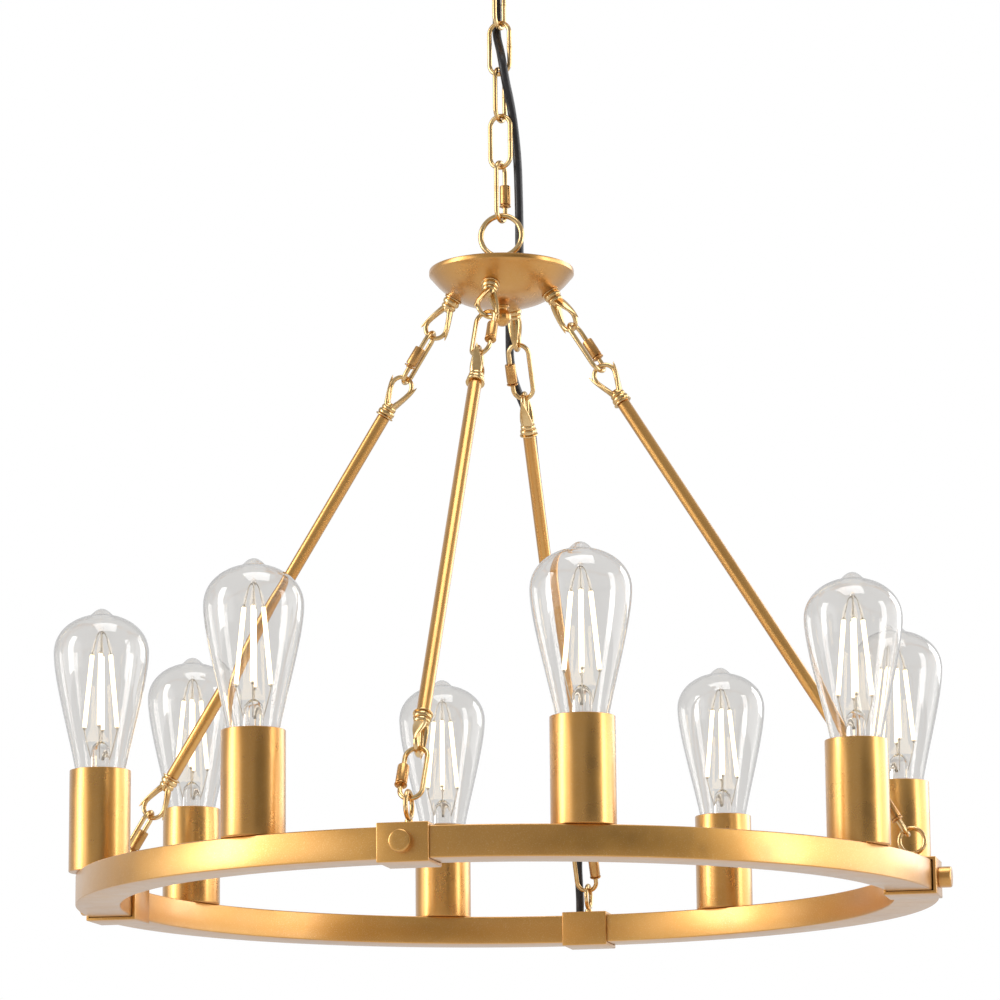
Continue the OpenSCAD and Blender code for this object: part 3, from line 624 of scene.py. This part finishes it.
def make_lamps():
    glass = finish_with(turned("glass_master", glass_outline(), 72, shut=True), GLASS)

    stem = turned("stem_master", [(0, -4), (6.2, -4), (6.5, -2), (6.3, 8), (6.3, 13), (5.6, 16),
                                  (3.4, 18.4), (1.9, 19.6), (0, 20)], 32)
    finish_with(stem, GLASS)

    rod = turned("rod_master", [(0, 0), (0.9, 0), (1.35, 0.5), (1.45, 1.2), (1.45, 48.8), (1.35, 49.5),
                                (0.9, 50), (0, 50)], 16)
    finish_with(rod, LIGHT)
    ferrule = turned("ferrule_master", [(0, -1.6), (0.55, -1.6), (0.7, -1.2), (1.15, -0.9), (1.15, 0.7),
                                        (0.5, 0.9), (0, 0.9)], 12)
    finish_with(ferrule, WIRE)

    low_r, low_z, high_r, high_z = 11.0, 29.0, 6.2, 78.6
    sticks, wires = [], []
    for i in range(4):
        turn = turned_by(90 * i)
        lean = Matrix.Rotation(math.atan2(high_r - low_r, high_z - low_z), 4, "Y")
        foot = turn @ moved_by(low_r, 0, low_z) @ lean
        head = foot @ moved_by(0, 0, STICK_LENGTH) @ Matrix.Rotation(math.pi, 4, "X")
        sticks.append(another(rod, "stick", foot))
        wires.append(another(ferrule, "ferrule", foot))
        wires.append(another(ferrule, "ferrule", head))

        def spot(r, z):
            return turn @ Vector((r, 0.0, z))

        support = [spot(low_r + 0.1, low_z - 1.2), spot(10.6, 25), spot(9.2, 19), spot(7.4, 12),
                   spot(6.0, 7.4)]
        hanger = [spot(high_r - 0.1, high_z + 1), spot(5.2, 83), spot(3.9, 88), spot(2.6, 92.6),
                  spot(0.6, 94.6)]
        wires.append(drawn_wire("support", support, SUPPORT_WIRE))
        wires.append(drawn_wire("hanger", hanger, SUPPORT_WIRE))
    wires.append(drawn_wire("post", [(0, 0, 19.4), (0, 0, 50), (0, 0, 94.8)], POST_WIRE))
    for piece in wires:
        finish_with(piece, WIRE)
    tip = turned("bead", [(0, 92.6), (1.2, 93.0), (1.8, 94.4), (1.6, 96.0), (0.8, 97.2), (0, 97.5)], 16)
    finish_with(tip, GLASS)
    cage = joined("cage_master", wires + [tip])
    light = joined("light_master", sticks)

    thread = []
    for i in range(6):
        h = -26.5 + 3.3 * i
        thread += [(12.6, h), (12.95, h + 0.8), (12.95, h + 1.7), (12.6, h + 2.5)]
    contact = [(0, -33), (3.6, -33), (4.6, -32.2), (7.2, -29.4), (7.4, -27.4)]
    cap = turned("cap_master", contact + thread + [(12.7, -7.8), (12.4, -7.35), (0, -7.35)], 48)
    finish_with(cap, CAP)

    for k in LAMP_DIRECTIONS:
        place = lamp_place(k, LAMP_TURN)
        body = f"lamp_{k}"
        shell = another(glass, f"lamp_{k}_glass", place)
        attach(shell, body)
        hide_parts(f"lamp_glass_{k}")
        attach(another(stem, f"lamp_{k}_stem", place), body)
        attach(another(cage, f"lamp_{k}_cage", place), body)
        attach(another(light, f"lamp_{k}_sticks", place), body)
        screw = another(cap, f"lamp_{k}_cap", place)
        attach(screw, body)
        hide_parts(f"lamp_core_{k}")
    throw_away(glass, stem, rod, ferrule, cage, light, cap)


make_lamps()


# ---------- links and hooks ----------

def round_off(piece):
    """Closes a shape that was drawn in edit mode, turns its faces outwards and leaves edit mode."""
    bpy.ops.mesh.select_all(action="SELECT")
    bpy.ops.mesh.remove_doubles(threshold=2e-6)
    bpy.ops.mesh.normals_make_consistent(inside=False)
    bpy.ops.object.mode_set(mode="OBJECT")
    return smooth(piece, 50)


def bent_link(name, tall, wide, wire, welded=True):
    """Bends a wire into a long link in the XZ plane, with the weld of its two ends on one side."""
    r, half = (wide - wire) / 2, (tall - wide) / 2
    put_down()
    bpy.ops.mesh.primitive_circle_add(vertices=18, radius=wire / 2 * MM,
                                      location=(r * MM, 0, half * MM))
    link = settle(bpy.context.object)
    link.name = name
    bpy.ops.object.mode_set(mode="EDIT")
    bpy.ops.mesh.select_all(action="SELECT")
    bpy.ops.mesh.spin(steps=20, angle=math.pi, center=(0, 0, half * MM), axis=(0, 1, 0))
    lengthen(0, 0, -2 * half)
    bpy.ops.mesh.spin(steps=20, angle=math.pi, center=(0, 0, -half * MM), axis=(0, 1, 0))
    here, size = -half, 1.0
    # The weld is a bulge with a groove round its middle: (height, width of the wire there).
    if welded:
        for there, next_size in ((-2.0, 1.0), (-1.3, 1.07), (-0.5, 1.10), (-0.2, 1.06), (-0.08, 0.84),
                                 (0.08, 0.84), (0.2, 1.06), (0.5, 1.10), (1.3, 1.07), (2.0, 1.0)):
            lengthen(0, 0, there - here)
            change = next_size / size
            bpy.ops.transform.resize(value=(change, change, 1), center_override=(r * MM, 0, there * MM))
            here, size = there, next_size
    lengthen(0, 0, half - here)
    return round_off(link)


def drawn_leaf():
    """A pointed leaf that clasps the root of a hook's loop, drawn out from its foot to its tip."""
    # Each section is (distance from the middle, height, thickness, width).
    sections = [(2.0, 7.4, 4.2, 7.8), (2.9, 9.6, 4.4, 8.6), (4.0, 12.4, 4.0, 8.6),
                (5.4, 15.6, 3.5, 7.6), (6.8, 19.0, 3.0, 6.2), (8.1, 22.4, 2.5, 4.4),
                (9.1, 25.4, 1.8, 2.6), (9.7, 27.6, 1.0, 1.2), (10.0, 28.8, 0.3, 0.3)]
    put_down()
    bpy.ops.mesh.primitive_circle_add(vertices=16, radius=0.5 * MM, fill_type="NGON")
    leaf = bpy.context.object
    bpy.ops.object.mode_set(mode="EDIT")
    bpy.ops.mesh.select_all(action="SELECT")
    x, z, thick, wide = sections[0]
    bpy.ops.transform.resize(value=(thick, wide, 1), center_override=(0, 0, 0))
    bpy.ops.transform.translate(value=(x * MM, 0, z * MM))
    for next_x, next_z, next_thick, next_wide in sections[1:]:
        lengthen(next_x - x, 0, next_z - z)
        bpy.ops.transform.resize(value=(next_thick / thick, next_wide / wide, 1),
                                 center_override=(next_x * MM, 0, next_z * MM))
        x, z, thick, wide = next_x, next_z, next_thick, next_wide
    return round_off(leaf)


def bead(middle, low, high, bulge):
    """Outline of a turned bead between two heights."""
    return [(middle + bulge * math.cos(math.radians(a)),
             (low + high) / 2 + (high - low) / 2 * math.sin(math.radians(a)))
            for a in range(-75, 76, 15)]


def hook_master():
    """A hook: a turned foot with two beads, a loop of wire and two leaves that clasp it."""
    flange = [(0, 0), (6.0, 0), (6.4, 0.25), (6.5, 0.6), (6.4, 1.0), (5.9, 1.25), (5.0, 1.35)]
    beads = bead(4.9, 1.4, 5.2, 1.1) + [(4.6, 5.2)] + bead(4.3, 5.25, 8.4, 1.0)
    root = [(4.0, 8.5), (3.6, 9.6), (2.8, 10.6), (1.6, 11.0), (0, 11.1)]
    foot = turned("foot", flange + beads + root, 40)
    loop_radius, loop_height = 7.4, 24
    loop = [(loop_radius * math.cos(math.radians(a)), 0,
             loop_height + loop_radius * math.sin(math.radians(a))) for a in range(-20, 201, 20)]
    loop = [(1.7, 0, 7.4), (4.25, 0, 14.2)] + loop + [(-4.25, 0, 14.2), (-1.7, 0, 7.4)]
    bow_wire = drawn_wire("bow", loop, LINK_WIRE, round_sides=4, steps=5)
    leaf = drawn_leaf()
    other = another(leaf, "leaf", Matrix.Rotation(math.pi, 4, "Z"))
    return finish_with(joined("hook_master", [foot, bow_wire, leaf, other]), BRASS)


SCREW_LINK_WIDE = 17.5


def nut_master():
    """The barrel of a screw link, with the collar and the bit of thread at its lower end."""
    outline = [(1.7, 6.0), (3.1, 6.0), (3.6, 5.75), (3.75, 5.2), (3.75, -7.0), (3.6, -7.5),
               (3.2, -7.7), (2.5, -7.75), (2.45, -8.3), (3.7, -8.4), (4.0, -8.6), (4.05, -9.0),
               (3.9, -9.3), (2.6, -9.4), (2.3, -9.6), (2.3, -10.0), (1.7, -10.0)]
    nut = turned("nut_master", outline, 36, shut=True)
    return finish_with(settle(nut, moved_by((SCREW_LINK_WIDE - LINK_WIRE) / 2, 0, 0)), BARREL)


def in_node(piece, name, node, body):
    """Puts a finished piece on its body, in place of a node."""
    piece.name = name
    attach(piece, body)
    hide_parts(node)
    return piece


# Places along a strut, from the hook's seat on the hub.
UPPER_LINK, ROD_TOP, ROD_END, LOWER_LINK = 48.05, 96.1, 386.528, 434.579
HOOK_TURNS = {1: 45, 2: 45, 3: 0, 4: 0}
LINK_TURNS = {1: 20, 2: 20, 3: 0, 4: 0}
FIRST_LINK, LINK_PITCH, CHAIN_SCREW_LINK = -80.4, 34.1, -219.15
CHAIN_LINKS = 4
ROD_RADIUS = 4.5


def hang_chain():
    """Hangs the four plain links, each turned a quarter to the last, and the screw link below."""
    link = finish_with(bent_link("link_master", 40.8, 18.6, LINK_WIRE), BRASS)
    links = []
    for k in range(CHAIN_LINKS):
        turn = CHAIN_TURN + (0 if k % 2 else math.pi / 2)
        links.append(another(link, "link", moved_by(0, 0, FIRST_LINK - LINK_PITCH * k)
                             @ Matrix.Rotation(turn, 4, "Z")))
    in_node(links[0], "top_chain_link", "chain_link_top", "top_link")
    in_node(joined("lower_chain_links", links[1:]), "lower_chain_links", "chain_links", "chain")
    where = moved_by(0, 0, CHAIN_SCREW_LINK) @ Matrix.Rotation(CHAIN_TURN + math.pi / 2, 4, "Z")
    screw = bent_link("screw_link_wire", 45.5, SCREW_LINK_WIDE, LINK_WIRE, welded=False)
    finish_with(screw, BRASS)
    in_node(settle(screw, where), "hub_screw_link", "top_screw_link", "chain")
    in_node(settle(nut_master(), where), "hub_screw_link_nut", "top_link_nut", "link_nut")
    throw_away(link)


def hang_struts():
    """Hangs the four struts: a hook on the hub, a screw link, the rod between its hooks, a link."""
    hook = hook_master()
    wire = bent_link("screw_wire", 43.5, SCREW_LINK_WIDE, LINK_WIRE, welded=False)
    finish_with(wire, BRASS)
    nut = nut_master()
    top, end = ROD_TOP + 0.05, ROD_END - 0.05
    bar = turned("bar_master", [(0, top), (4.0, top), (ROD_RADIUS, ROD_TOP + 0.6),
                                (ROD_RADIUS, 170), (ROD_RADIUS, 250), (ROD_RADIUS, 320),
                                (ROD_RADIUS, ROD_END - 0.6), (4.0, end), (0, end)], 48)
    finish_with(bar, SATIN)
    hub_side = []
    for k in STRUT_DIRECTIONS:
        hub_side.append(another(hook, "hub_hook", strut_place(k, 0, HOOK_TURNS[k])))
        ends = [another(hook, "end", strut_place(k, ROD_TOP, flip=True)),
                another(hook, "end", strut_place(k, ROD_END))]
        in_node(joined("ends", ends), f"strut_{k}_rod_hooks", f"rod_hooks_{k}", f"strut_{k}")
        upper = strut_place(k, UPPER_LINK, -(90 + LINK_TURNS[k]), flip=True)
        lower = strut_place(k, LOWER_LINK, 90, flip=True)
        parts = [another(piece, "part", place) for place in (upper, lower) for piece in (wire, nut)]
        in_node(joined("parts", parts), f"strut_{k}_screw_links", f"screw_links_{k}", f"strut_{k}")
        in_node(another(bar, "bar", strut_place(k)), f"strut_{k}_rod", f"rod_{k}", f"strut_{k}")
    in_node(joined("hub_side", hub_side), "forged_hub_hooks", "hub_hooks", "hub")
    throw_away(hook, wire, nut, bar)


hang_chain()
hang_struts()


# ---------- hub ----------

def standing_ring(name, across, wire):
    """A closed ring of wire that stands in the XZ plane."""
    put_down()
    bpy.ops.mesh.primitive_torus_add(major_radius=(across - wire) / 2 * MM,
                                     minor_radius=wire / 2 * MM, major_segments=72,
                                     minor_segments=20, rotation=(math.pi / 2, 0, 0))
    ring = settle(bpy.context.object)
    ring.name = name
    return smooth(ring, 60)


def bowl_height(r):
    """Height of the bowl's outer face at a distance from its axis."""
    return BOWL_BOTTOM + BOWL_RISE * (r / BOWL_EDGE) ** 3


def make_bowl():
    """The spun bowl, with its rolled rim, the hole for the pipe and the cord's hole."""
    pipe_hole, first_ring, rings = 4.0, 4.5, 28
    radii = [2 + (BOWL_EDGE - 2) * i / rings for i in range(rings + 1)]
    shell = [(pipe_hole, bowl_height(pipe_hole))]
    shell += [(r, bowl_height(r)) for r in radii if r > first_ring]
    band = [(50.3, -279.7), (50.5, -279.3), (50.5, -276.9), (50.3, -276.3), (49.7, HUB_RIM),
            (48.9, HUB_RIM), (48.4, -276.3), (48.3, -276.9), (48.3, -280.0)]
    inside = []
    for r in [radii[i] for i in range(rings - 1, -1, -1) if radii[i] > first_ring]:
        slope = 3 * BOWL_RISE / BOWL_EDGE * (r / BOWL_EDGE) ** 2
        n = math.hypot(1, slope)
        inside.append((r - SHEET * slope / n, bowl_height(r) + SHEET / n))
    inside.append((pipe_hole, bowl_height(pipe_hole) + SHEET))
    bowl = turned("bowl", shell + band + inside, 112, shut=True)
    put_down()
    bpy.ops.mesh.primitive_cylinder_add(vertices=40, radius=4.9 * MM, depth=24 * MM)
    drill = bpy.context.object
    place = Vector(beside_strut((-6, 2, 12))) * MM
    settle(drill, Matrix.Translation(place) @ Matrix.Rotation(math.pi + STRUT_TILT, 4, "X"))
    smooth(cut_away(bowl, drill), 34)
    in_node(finish_with(bowl, SATIN), "hub_bowl_spun", "hub_bowl", "hub")


def make_hub_loop():
    """The ring that the hub hangs by, on its flared foot and the shank inside the pipe."""
    loop = settle(standing_ring("loop", 33, 3.8), moved_by(0, 0, -251.1))
    foot = turned("loop_foot", [(0, -288.4), (3.45, -288.4), (3.45, -277.0), (7.4, -277.0),
                                (7.5, -276.7), (7.3, -276.2), (6.3, -275.6), (5.0, -274.6),
                                (4.3, -273.4), (4.1, -272.4), (4.0, -270), (4.0, -267.2),
                                (3.6, -266.2), (0, -266.0)], 36)
    piece = finish_with(joined("loop_and_foot", [loop, foot]), BRASS)
    in_node(piece, "hub_loop_ring", "hub_loop", "hub")


def make_finial():
    """The ball that closes the bowl from below, with its collar and the shank inside the pipe."""
    shank, ball_radius, ball = 3.45, 6.5, -309.6
    neck = [(shank, BOWL_BOTTOM + 11), (shank, BOWL_BOTTOM - 0.1), (5.1, BOWL_BOTTOM - 0.1),
            (5.25, BOWL_BOTTOM - 0.4), (5.1, BOWL_BOTTOM - 0.9), (4.2, BOWL_BOTTOM - 1.5),
            (3.7, BOWL_BOTTOM - 2.2)]
    globe = [(ball_radius * math.cos(math.radians(a)), ball + ball_radius * math.sin(math.radians(a)))
             for a in range(56, -90, -6)]
    outline = [(0, BOWL_BOTTOM + 11)] + neck + globe + [(0, ball - ball_radius)]
    finial = turned("finial", outline, 48)
    in_node(finish_with(finial, SATIN), "finial_ball", "finial", "finial")


make_bowl()
make_hub_loop()
make_finial()


# ---------- ring and cups ----------

def make_ring():
    """The four arcs of box section, bent with rounded edges, each hollow and open at its ends."""
    half_gap = math.degrees(math.asin(11 / RING_MIDDLE))
    corner = 0.9
    high, low = RING_TOP - corner, RING_BOTTOM + corner
    outer, inner = RING_OUTER - corner, RING_INNER + corner
    outline = []
    for cx, cz, start in ((outer, high, 0), (inner, high, 90), (inner, low, 180), (outer, low, 270)):
        outline += [(cx + corner * math.cos(math.radians(start + a)),
                     cz + corner * math.sin(math.radians(start + a))) for a in (0, 30, 60, 90)]
    arc = turned("arc_master", outline, 60, shut=True, degrees=90 - 2 * half_gap)
    wall = arc.modifiers.new("wall", "SOLIDIFY")
    wall.thickness = SHEET * MM
    wall.offset = -1
    apply_modifiers(arc)
    reach = [math.degrees(math.atan2(v.co.y, v.co.x)) for v in arc.data.vertices]
    middle = (min(reach) + max(reach)) / 2
    smooth(arc, 40)
    finish_with(arc, GOLD)
    for k, azimuth in STRUT_DIRECTIONS.items():
        where = turned_by(azimuth + 45 - middle)
        in_node(another(arc, "arc", where), f"ring_arc_{k}", f"ring_segment_{k}", "ring")
    throw_away(arc)


def make_cups():
    """The eight turned cups, with a rounded foot and a rolled rim."""
    outline = [(5.2, 0.05), (19.4, 0.05), (20.0, 0.15), (20.4, 0.45), (20.5, 1.0), (20.5, 20),
               (20.5, 45), (20.5, 67.9), (20.4, 68.25), (20.15, 68.45), (19.85, CUP_HEIGHT),
               (19.5, 68.4), (19.3, 68.1), (19.3, 40), (19.3, 2.0), (18.8, 1.3), (5.2, 1.25)]
    cup = finish_with(turned("cup_master", outline, 80, shut=True), SATIN)
    cups = [another(cup, "cup", lamp_place(k, height=RING_TOP)) for k in LAMP_DIRECTIONS]
    in_node(joined("cups", cups), "lamp_cups_turned", "lamp_cups", "ring")
    throw_away(cup)


def make_eyes():
    """The eye bolts on the sleeves, each with a washer on top and a nut inside."""
    eye = settle(standing_ring("eye", 20, 3), moved_by(0, 0, -685.3))
    shank = turned("shank", [(0, -705.5), (2.3, -705.5), (2.5, -705.2), (2.5, -697.7), (3.6, -697.7),
                             (3.8, -697.4), (3.8, -696.8), (3.5, -696.5), (2.6, -696.4), (2.5, -694.5),
                             (0, -694.2)], 28)
    put_down()
    bpy.ops.mesh.primitive_cylinder_add(vertices=6, radius=4.6 * MM, depth=3 * MM,
                                        location=(0, 0, -701.3 * MM))
    nut = settle(bpy.context.object)
    master = joined("eye_master", [eye, shank, nut])
    finish_with(master, BRASS)
    eyes = [another(master, "eye", turned_by(azimuth) @ moved_by(RING_MIDDLE, 0, 0))
            for azimuth in STRUT_DIRECTIONS.values()]
    in_node(joined("eyes", eyes), "eye_bolts", "ring_eyes", "ring")
    throw_away(master)


SLEEVE_INSIDE, SLEEVE_FACE, SLEEVE_HALF = 258.1, 293.3, 16.5
SLEEVE_TOP, SLEEVE_BOTTOM, SLEEVE_SHEET = -697.7, -722.3, 2.0
CORD_SLEEVE = 3
BOLT_HOLE, EYE_HOLE, CORD_HOLE = 3.1, 2.6, 3.9


def bolt_master():
    """A bolt with a round head, its shank, and the nut on it inside the sleeve."""
    head = turned("head", [(0, 0), (6.6, 0), (7.0, 0.4), (7.0, 7.2), (6.85, 7.9), (6.4, 8.35),
                           (5.8, 8.5), (3, 8.5), (0, 8.5)], 48)
    shank = turned("shank", [(0, -18), (2.6, -18), (3.0, -17.5), (3.0, 0.2), (0, 0.2)], 28)
    put_down()
    bpy.ops.mesh.primitive_cylinder_add(vertices=6, radius=5.3 * MM, depth=3.1 * MM,
                                        location=(0, 0, -3.65 * MM))
    nut = settle(bpy.context.object)
    return finish_with(joined("bolt_master", [head, shank, nut]), GOLD)


def make_sleeves():
    """Box sleeves, folded from sheet, each with its round-headed bolt."""
    outward = moved_by(0, 0, (RING_TOP + RING_BOTTOM) / 2) @ Matrix.Rotation(math.pi / 2, 4, "Y")
    sleeves, bolts = [], []
    bolt = bolt_master()
    for k, azimuth in STRUT_DIRECTIONS.items():
        turn = turned_by(azimuth)
        sleeve = block("sleeve", (SLEEVE_INSIDE, -SLEEVE_HALF, SLEEVE_BOTTOM),
                       (SLEEVE_FACE, SLEEVE_HALF, SLEEVE_TOP))
        ease = sleeve.modifiers.new("ease", "BEVEL")
        ease.width, ease.segments = 0.7 * MM, 3
        apply_modifiers(sleeve)
        room = block("inside", (SLEEVE_INSIDE + SLEEVE_SHEET, -18, SLEEVE_BOTTOM + SLEEVE_SHEET),
                     (SLEEVE_FACE - SLEEVE_SHEET, 18, SLEEVE_TOP - SLEEVE_SHEET))
        # The bolt's hole goes through the outer face alone, the eye's through the top.
        tools = [room, pin(BOLT_HOLE, 285, 300, outward),
                 pin(EYE_HOLE, -702, -692, moved_by(RING_MIDDLE, 0, 0))]
        if k == CORD_SLEEVE:
            tools.append(pin(CORD_HOLE, -702, -692, moved_by(281, 7.5, 0)))
        cut_away(sleeve, *tools)
        smooth(sleeve, 40)
        sleeves.append(settle(sleeve, turn))
        bolts.append(another(bolt, "bolt", turn @ outward @ moved_by(0, 0, SLEEVE_FACE)))
    folded = finish_with(joined("folded_sleeves", sleeves), GOLD)
    in_node(folded, "folded_sleeves", "sleeves", "ring")
    in_node(joined("round_bolts", bolts), "round_bolts", "sleeve_bolts", "ring")
    throw_away(bolt)


def make_canopy():
    """The spun canopy: flat round its hole, then a quarter of an ellipse out to its rim."""
    flat, wide, deep, sheet, hole = 21, 40, 27, 1, 13.6
    curve = [(flat + wide * math.sin(math.radians(a)), -deep + 23 * (1 - math.cos(math.radians(a))))
             for a in range(0, 86, 5)]
    back = [(flat + (wide - sheet) * math.sin(math.radians(a)),
             sheet - deep + 22 * (1 - math.cos(math.radians(a)))) for a in range(80, -1, -5)]
    rim = [(61.6, -4.2), (62, -3.7), (62, -0.4), (61.7, 0), (60, 0), (59.6, -0.4), (59.6, -3.9)]
    outline = [(hole, -deep)] + curve + rim + back + [(hole, sheet - deep)]
    canopy = finish_with(turned("canopy", outline, 112, shut=True), SATIN)
    in_node(canopy, "canopy_spun", "canopy", "canopy")


make_ring()
make_cups()
make_eyes()
make_sleeves()
make_canopy()


# ---------- the carried-over pieces ----------

finish_nodes(STEEL, "crossbar")
finish_nodes(BRASS, "canopy_nipple", "canopy_loop", "canopy_collar", "hub_stem", "cup_nipples")
finish_nodes(GOLD, "hub_cover")
finish_nodes(BUSH, "hub_bushings", "sleeve_bushing")
finish_nodes(CERAMIC, "lampholders")
finish_nodes(SLEEVING, "ring_wiring")


# ---------- the studio ----------

# Strengths of the world, where 1 is white. The floor and the lamps are measured in metres.
SWEEP_FRONT, SWEEP_BACK = 0.46, 0.74
LEFT_BOX, RIGHT_BOX, DARK_SIDE = 1.6, 1.7, 0.26
THROUGH_GLASS, BOX_THROUGH_GLASS = 0.72, 0.14
SOFT_LIGHT = 0.62
FLOOR_SIZE, FLOOR_HEIGHT = 14, -1.5
LIGHT_AIM = (0, 0, -0.55)


def make_world():
    """White to the camera. Metal mirrors a grey room with a bright box on each side of it."""
    world = bpy.data.worlds.new("studio")
    bpy.context.scene.world = world
    world.use_nodes = True
    nodes, links = world.node_tree.nodes, world.node_tree.links
    nodes.clear()
    out = nodes.new("ShaderNodeOutputWorld")
    sky = nodes.new("ShaderNodeBackground")
    sky.inputs["Color"].default_value = (1, 1, 1, 1)
    links.new(sky.outputs[0], out.inputs[0])
    path = nodes.new("ShaderNodeLightPath")
    where = nodes.new("ShaderNodeTexCoord")
    split = nodes.new("ShaderNodeSeparateXYZ")
    links.new(where.outputs["Generated"], split.inputs[0])

    def math_node(how, a, b):
        node = nodes.new("ShaderNodeMath")
        node.operation = how
        for socket, value in zip(node.inputs, (a, b)):
            if hasattr(value, "links"):
                links.new(value, socket)
            else:
                socket.default_value = value
        return node.outputs[0]

    def spread(value, start, end, low, high):
        node = nodes.new("ShaderNodeMapRange")
        node.interpolation_type = "SMOOTHSTEP"
        for name, number in (("From Min", start), ("From Max", end), ("To Min", low), ("To Max", high)):
            node.inputs[name].default_value = number
        links.new(value, node.inputs["Value"])
        return node.outputs[0]

    def towards(direction):
        node = nodes.new("ShaderNodeVectorMath")
        node.operation = "DOT_PRODUCT"
        links.new(where.outputs["Generated"], node.inputs[0])
        node.inputs[1].default_value = Vector(direction).normalized()
        return node.outputs["Value"]

    # The sweep is brightest behind the object, and the room is dimmer in front of it. Glass
    # shows the white background as a light grey, and the boxes a little brighter, all round.
    sweep = spread(split.outputs["Y"], -0.2, 0.8, SWEEP_FRONT, SWEEP_BACK)
    left = spread(towards((-0.86, -0.50, 0)), 0.80, 0.95, 0.0, LEFT_BOX)
    right = spread(towards((0.92, 0.39, 0)), 0.82, 0.96, 0.0, RIGHT_BOX)
    dark = spread(towards((0.678, -0.735, 0)), 0.86, 0.98, 0.0, DARK_SIDE)
    glow = math_node("SUBTRACT", math_node("ADD", sweep, math_node("ADD", left, right)), dark)
    mirrored = math_node("SUBTRACT", path.outputs["Is Glossy Ray"], path.outputs["Is Transmission Ray"])
    glossy = math_node("MULTIPLY", mirrored, glow)
    boxes = math_node("MULTIPLY", math_node("ADD", left, right), BOX_THROUGH_GLASS)
    through = math_node("MULTIPLY", path.outputs["Is Transmission Ray"],
                        math_node("ADD", boxes, THROUGH_GLASS))
    seen = math_node("MAXIMUM", path.outputs["Is Camera Ray"], through)
    soft = math_node("MULTIPLY", path.outputs["Is Diffuse Ray"], SOFT_LIGHT)
    strength = math_node("MAXIMUM", math_node("MAXIMUM", seen, glossy), soft)
    links.new(strength, sky.inputs["Strength"])


def lay_floor():
    put_down()
    bpy.ops.mesh.primitive_plane_add(size=FLOOR_SIZE, location=(0, 0, FLOOR_HEIGHT))
    floor = bpy.context.object
    floor.name = "floor"
    f = Finish("floor_white")
    f.colour(f.ramp(f.noise(3, 2), [(0.3, (0.82, 0.82, 0.82)), (0.7, (0.84, 0.84, 0.84))]))
    f.set(Roughness=0.6, Specular_IOR_Level=0.1)
    floor.data.materials.append(f.material)


def softbox(name, place, wide, high, power):
    """A soft lamp of that size in metres and power in watts, aimed at the object's middle."""
    lamp = bpy.data.lights.new(name, "AREA")
    lamp.shape = "RECTANGLE"
    lamp.size, lamp.size_y = wide, high
    lamp.energy = power
    lamp.color = (1, 1, 1)
    piece = bpy.data.objects.new(name, lamp)
    place, aim = Vector(place), Vector(LIGHT_AIM)
    facing = (aim - place).to_track_quat("-Z", "Y").to_matrix().to_4x4()
    piece.matrix_world = Matrix.Translation(place) @ facing
    bpy.context.collection.objects.link(piece)


bpy.context.scene.view_settings.view_transform = "Standard"
make_world()
lay_floor()
softbox("key_left", (-2.85, -1.5, 0.3), 0.9, 2.4, 36)
softbox("fill_right", (2.9, -0.3, 0.0), 0.7, 2.2, 20)
softbox("above", (0.2, -0.4, 1.9), 1.6, 1.6, 26)
softbox("behind", (1.8, 2.2, 0.4), 1.2, 1.6, 16)
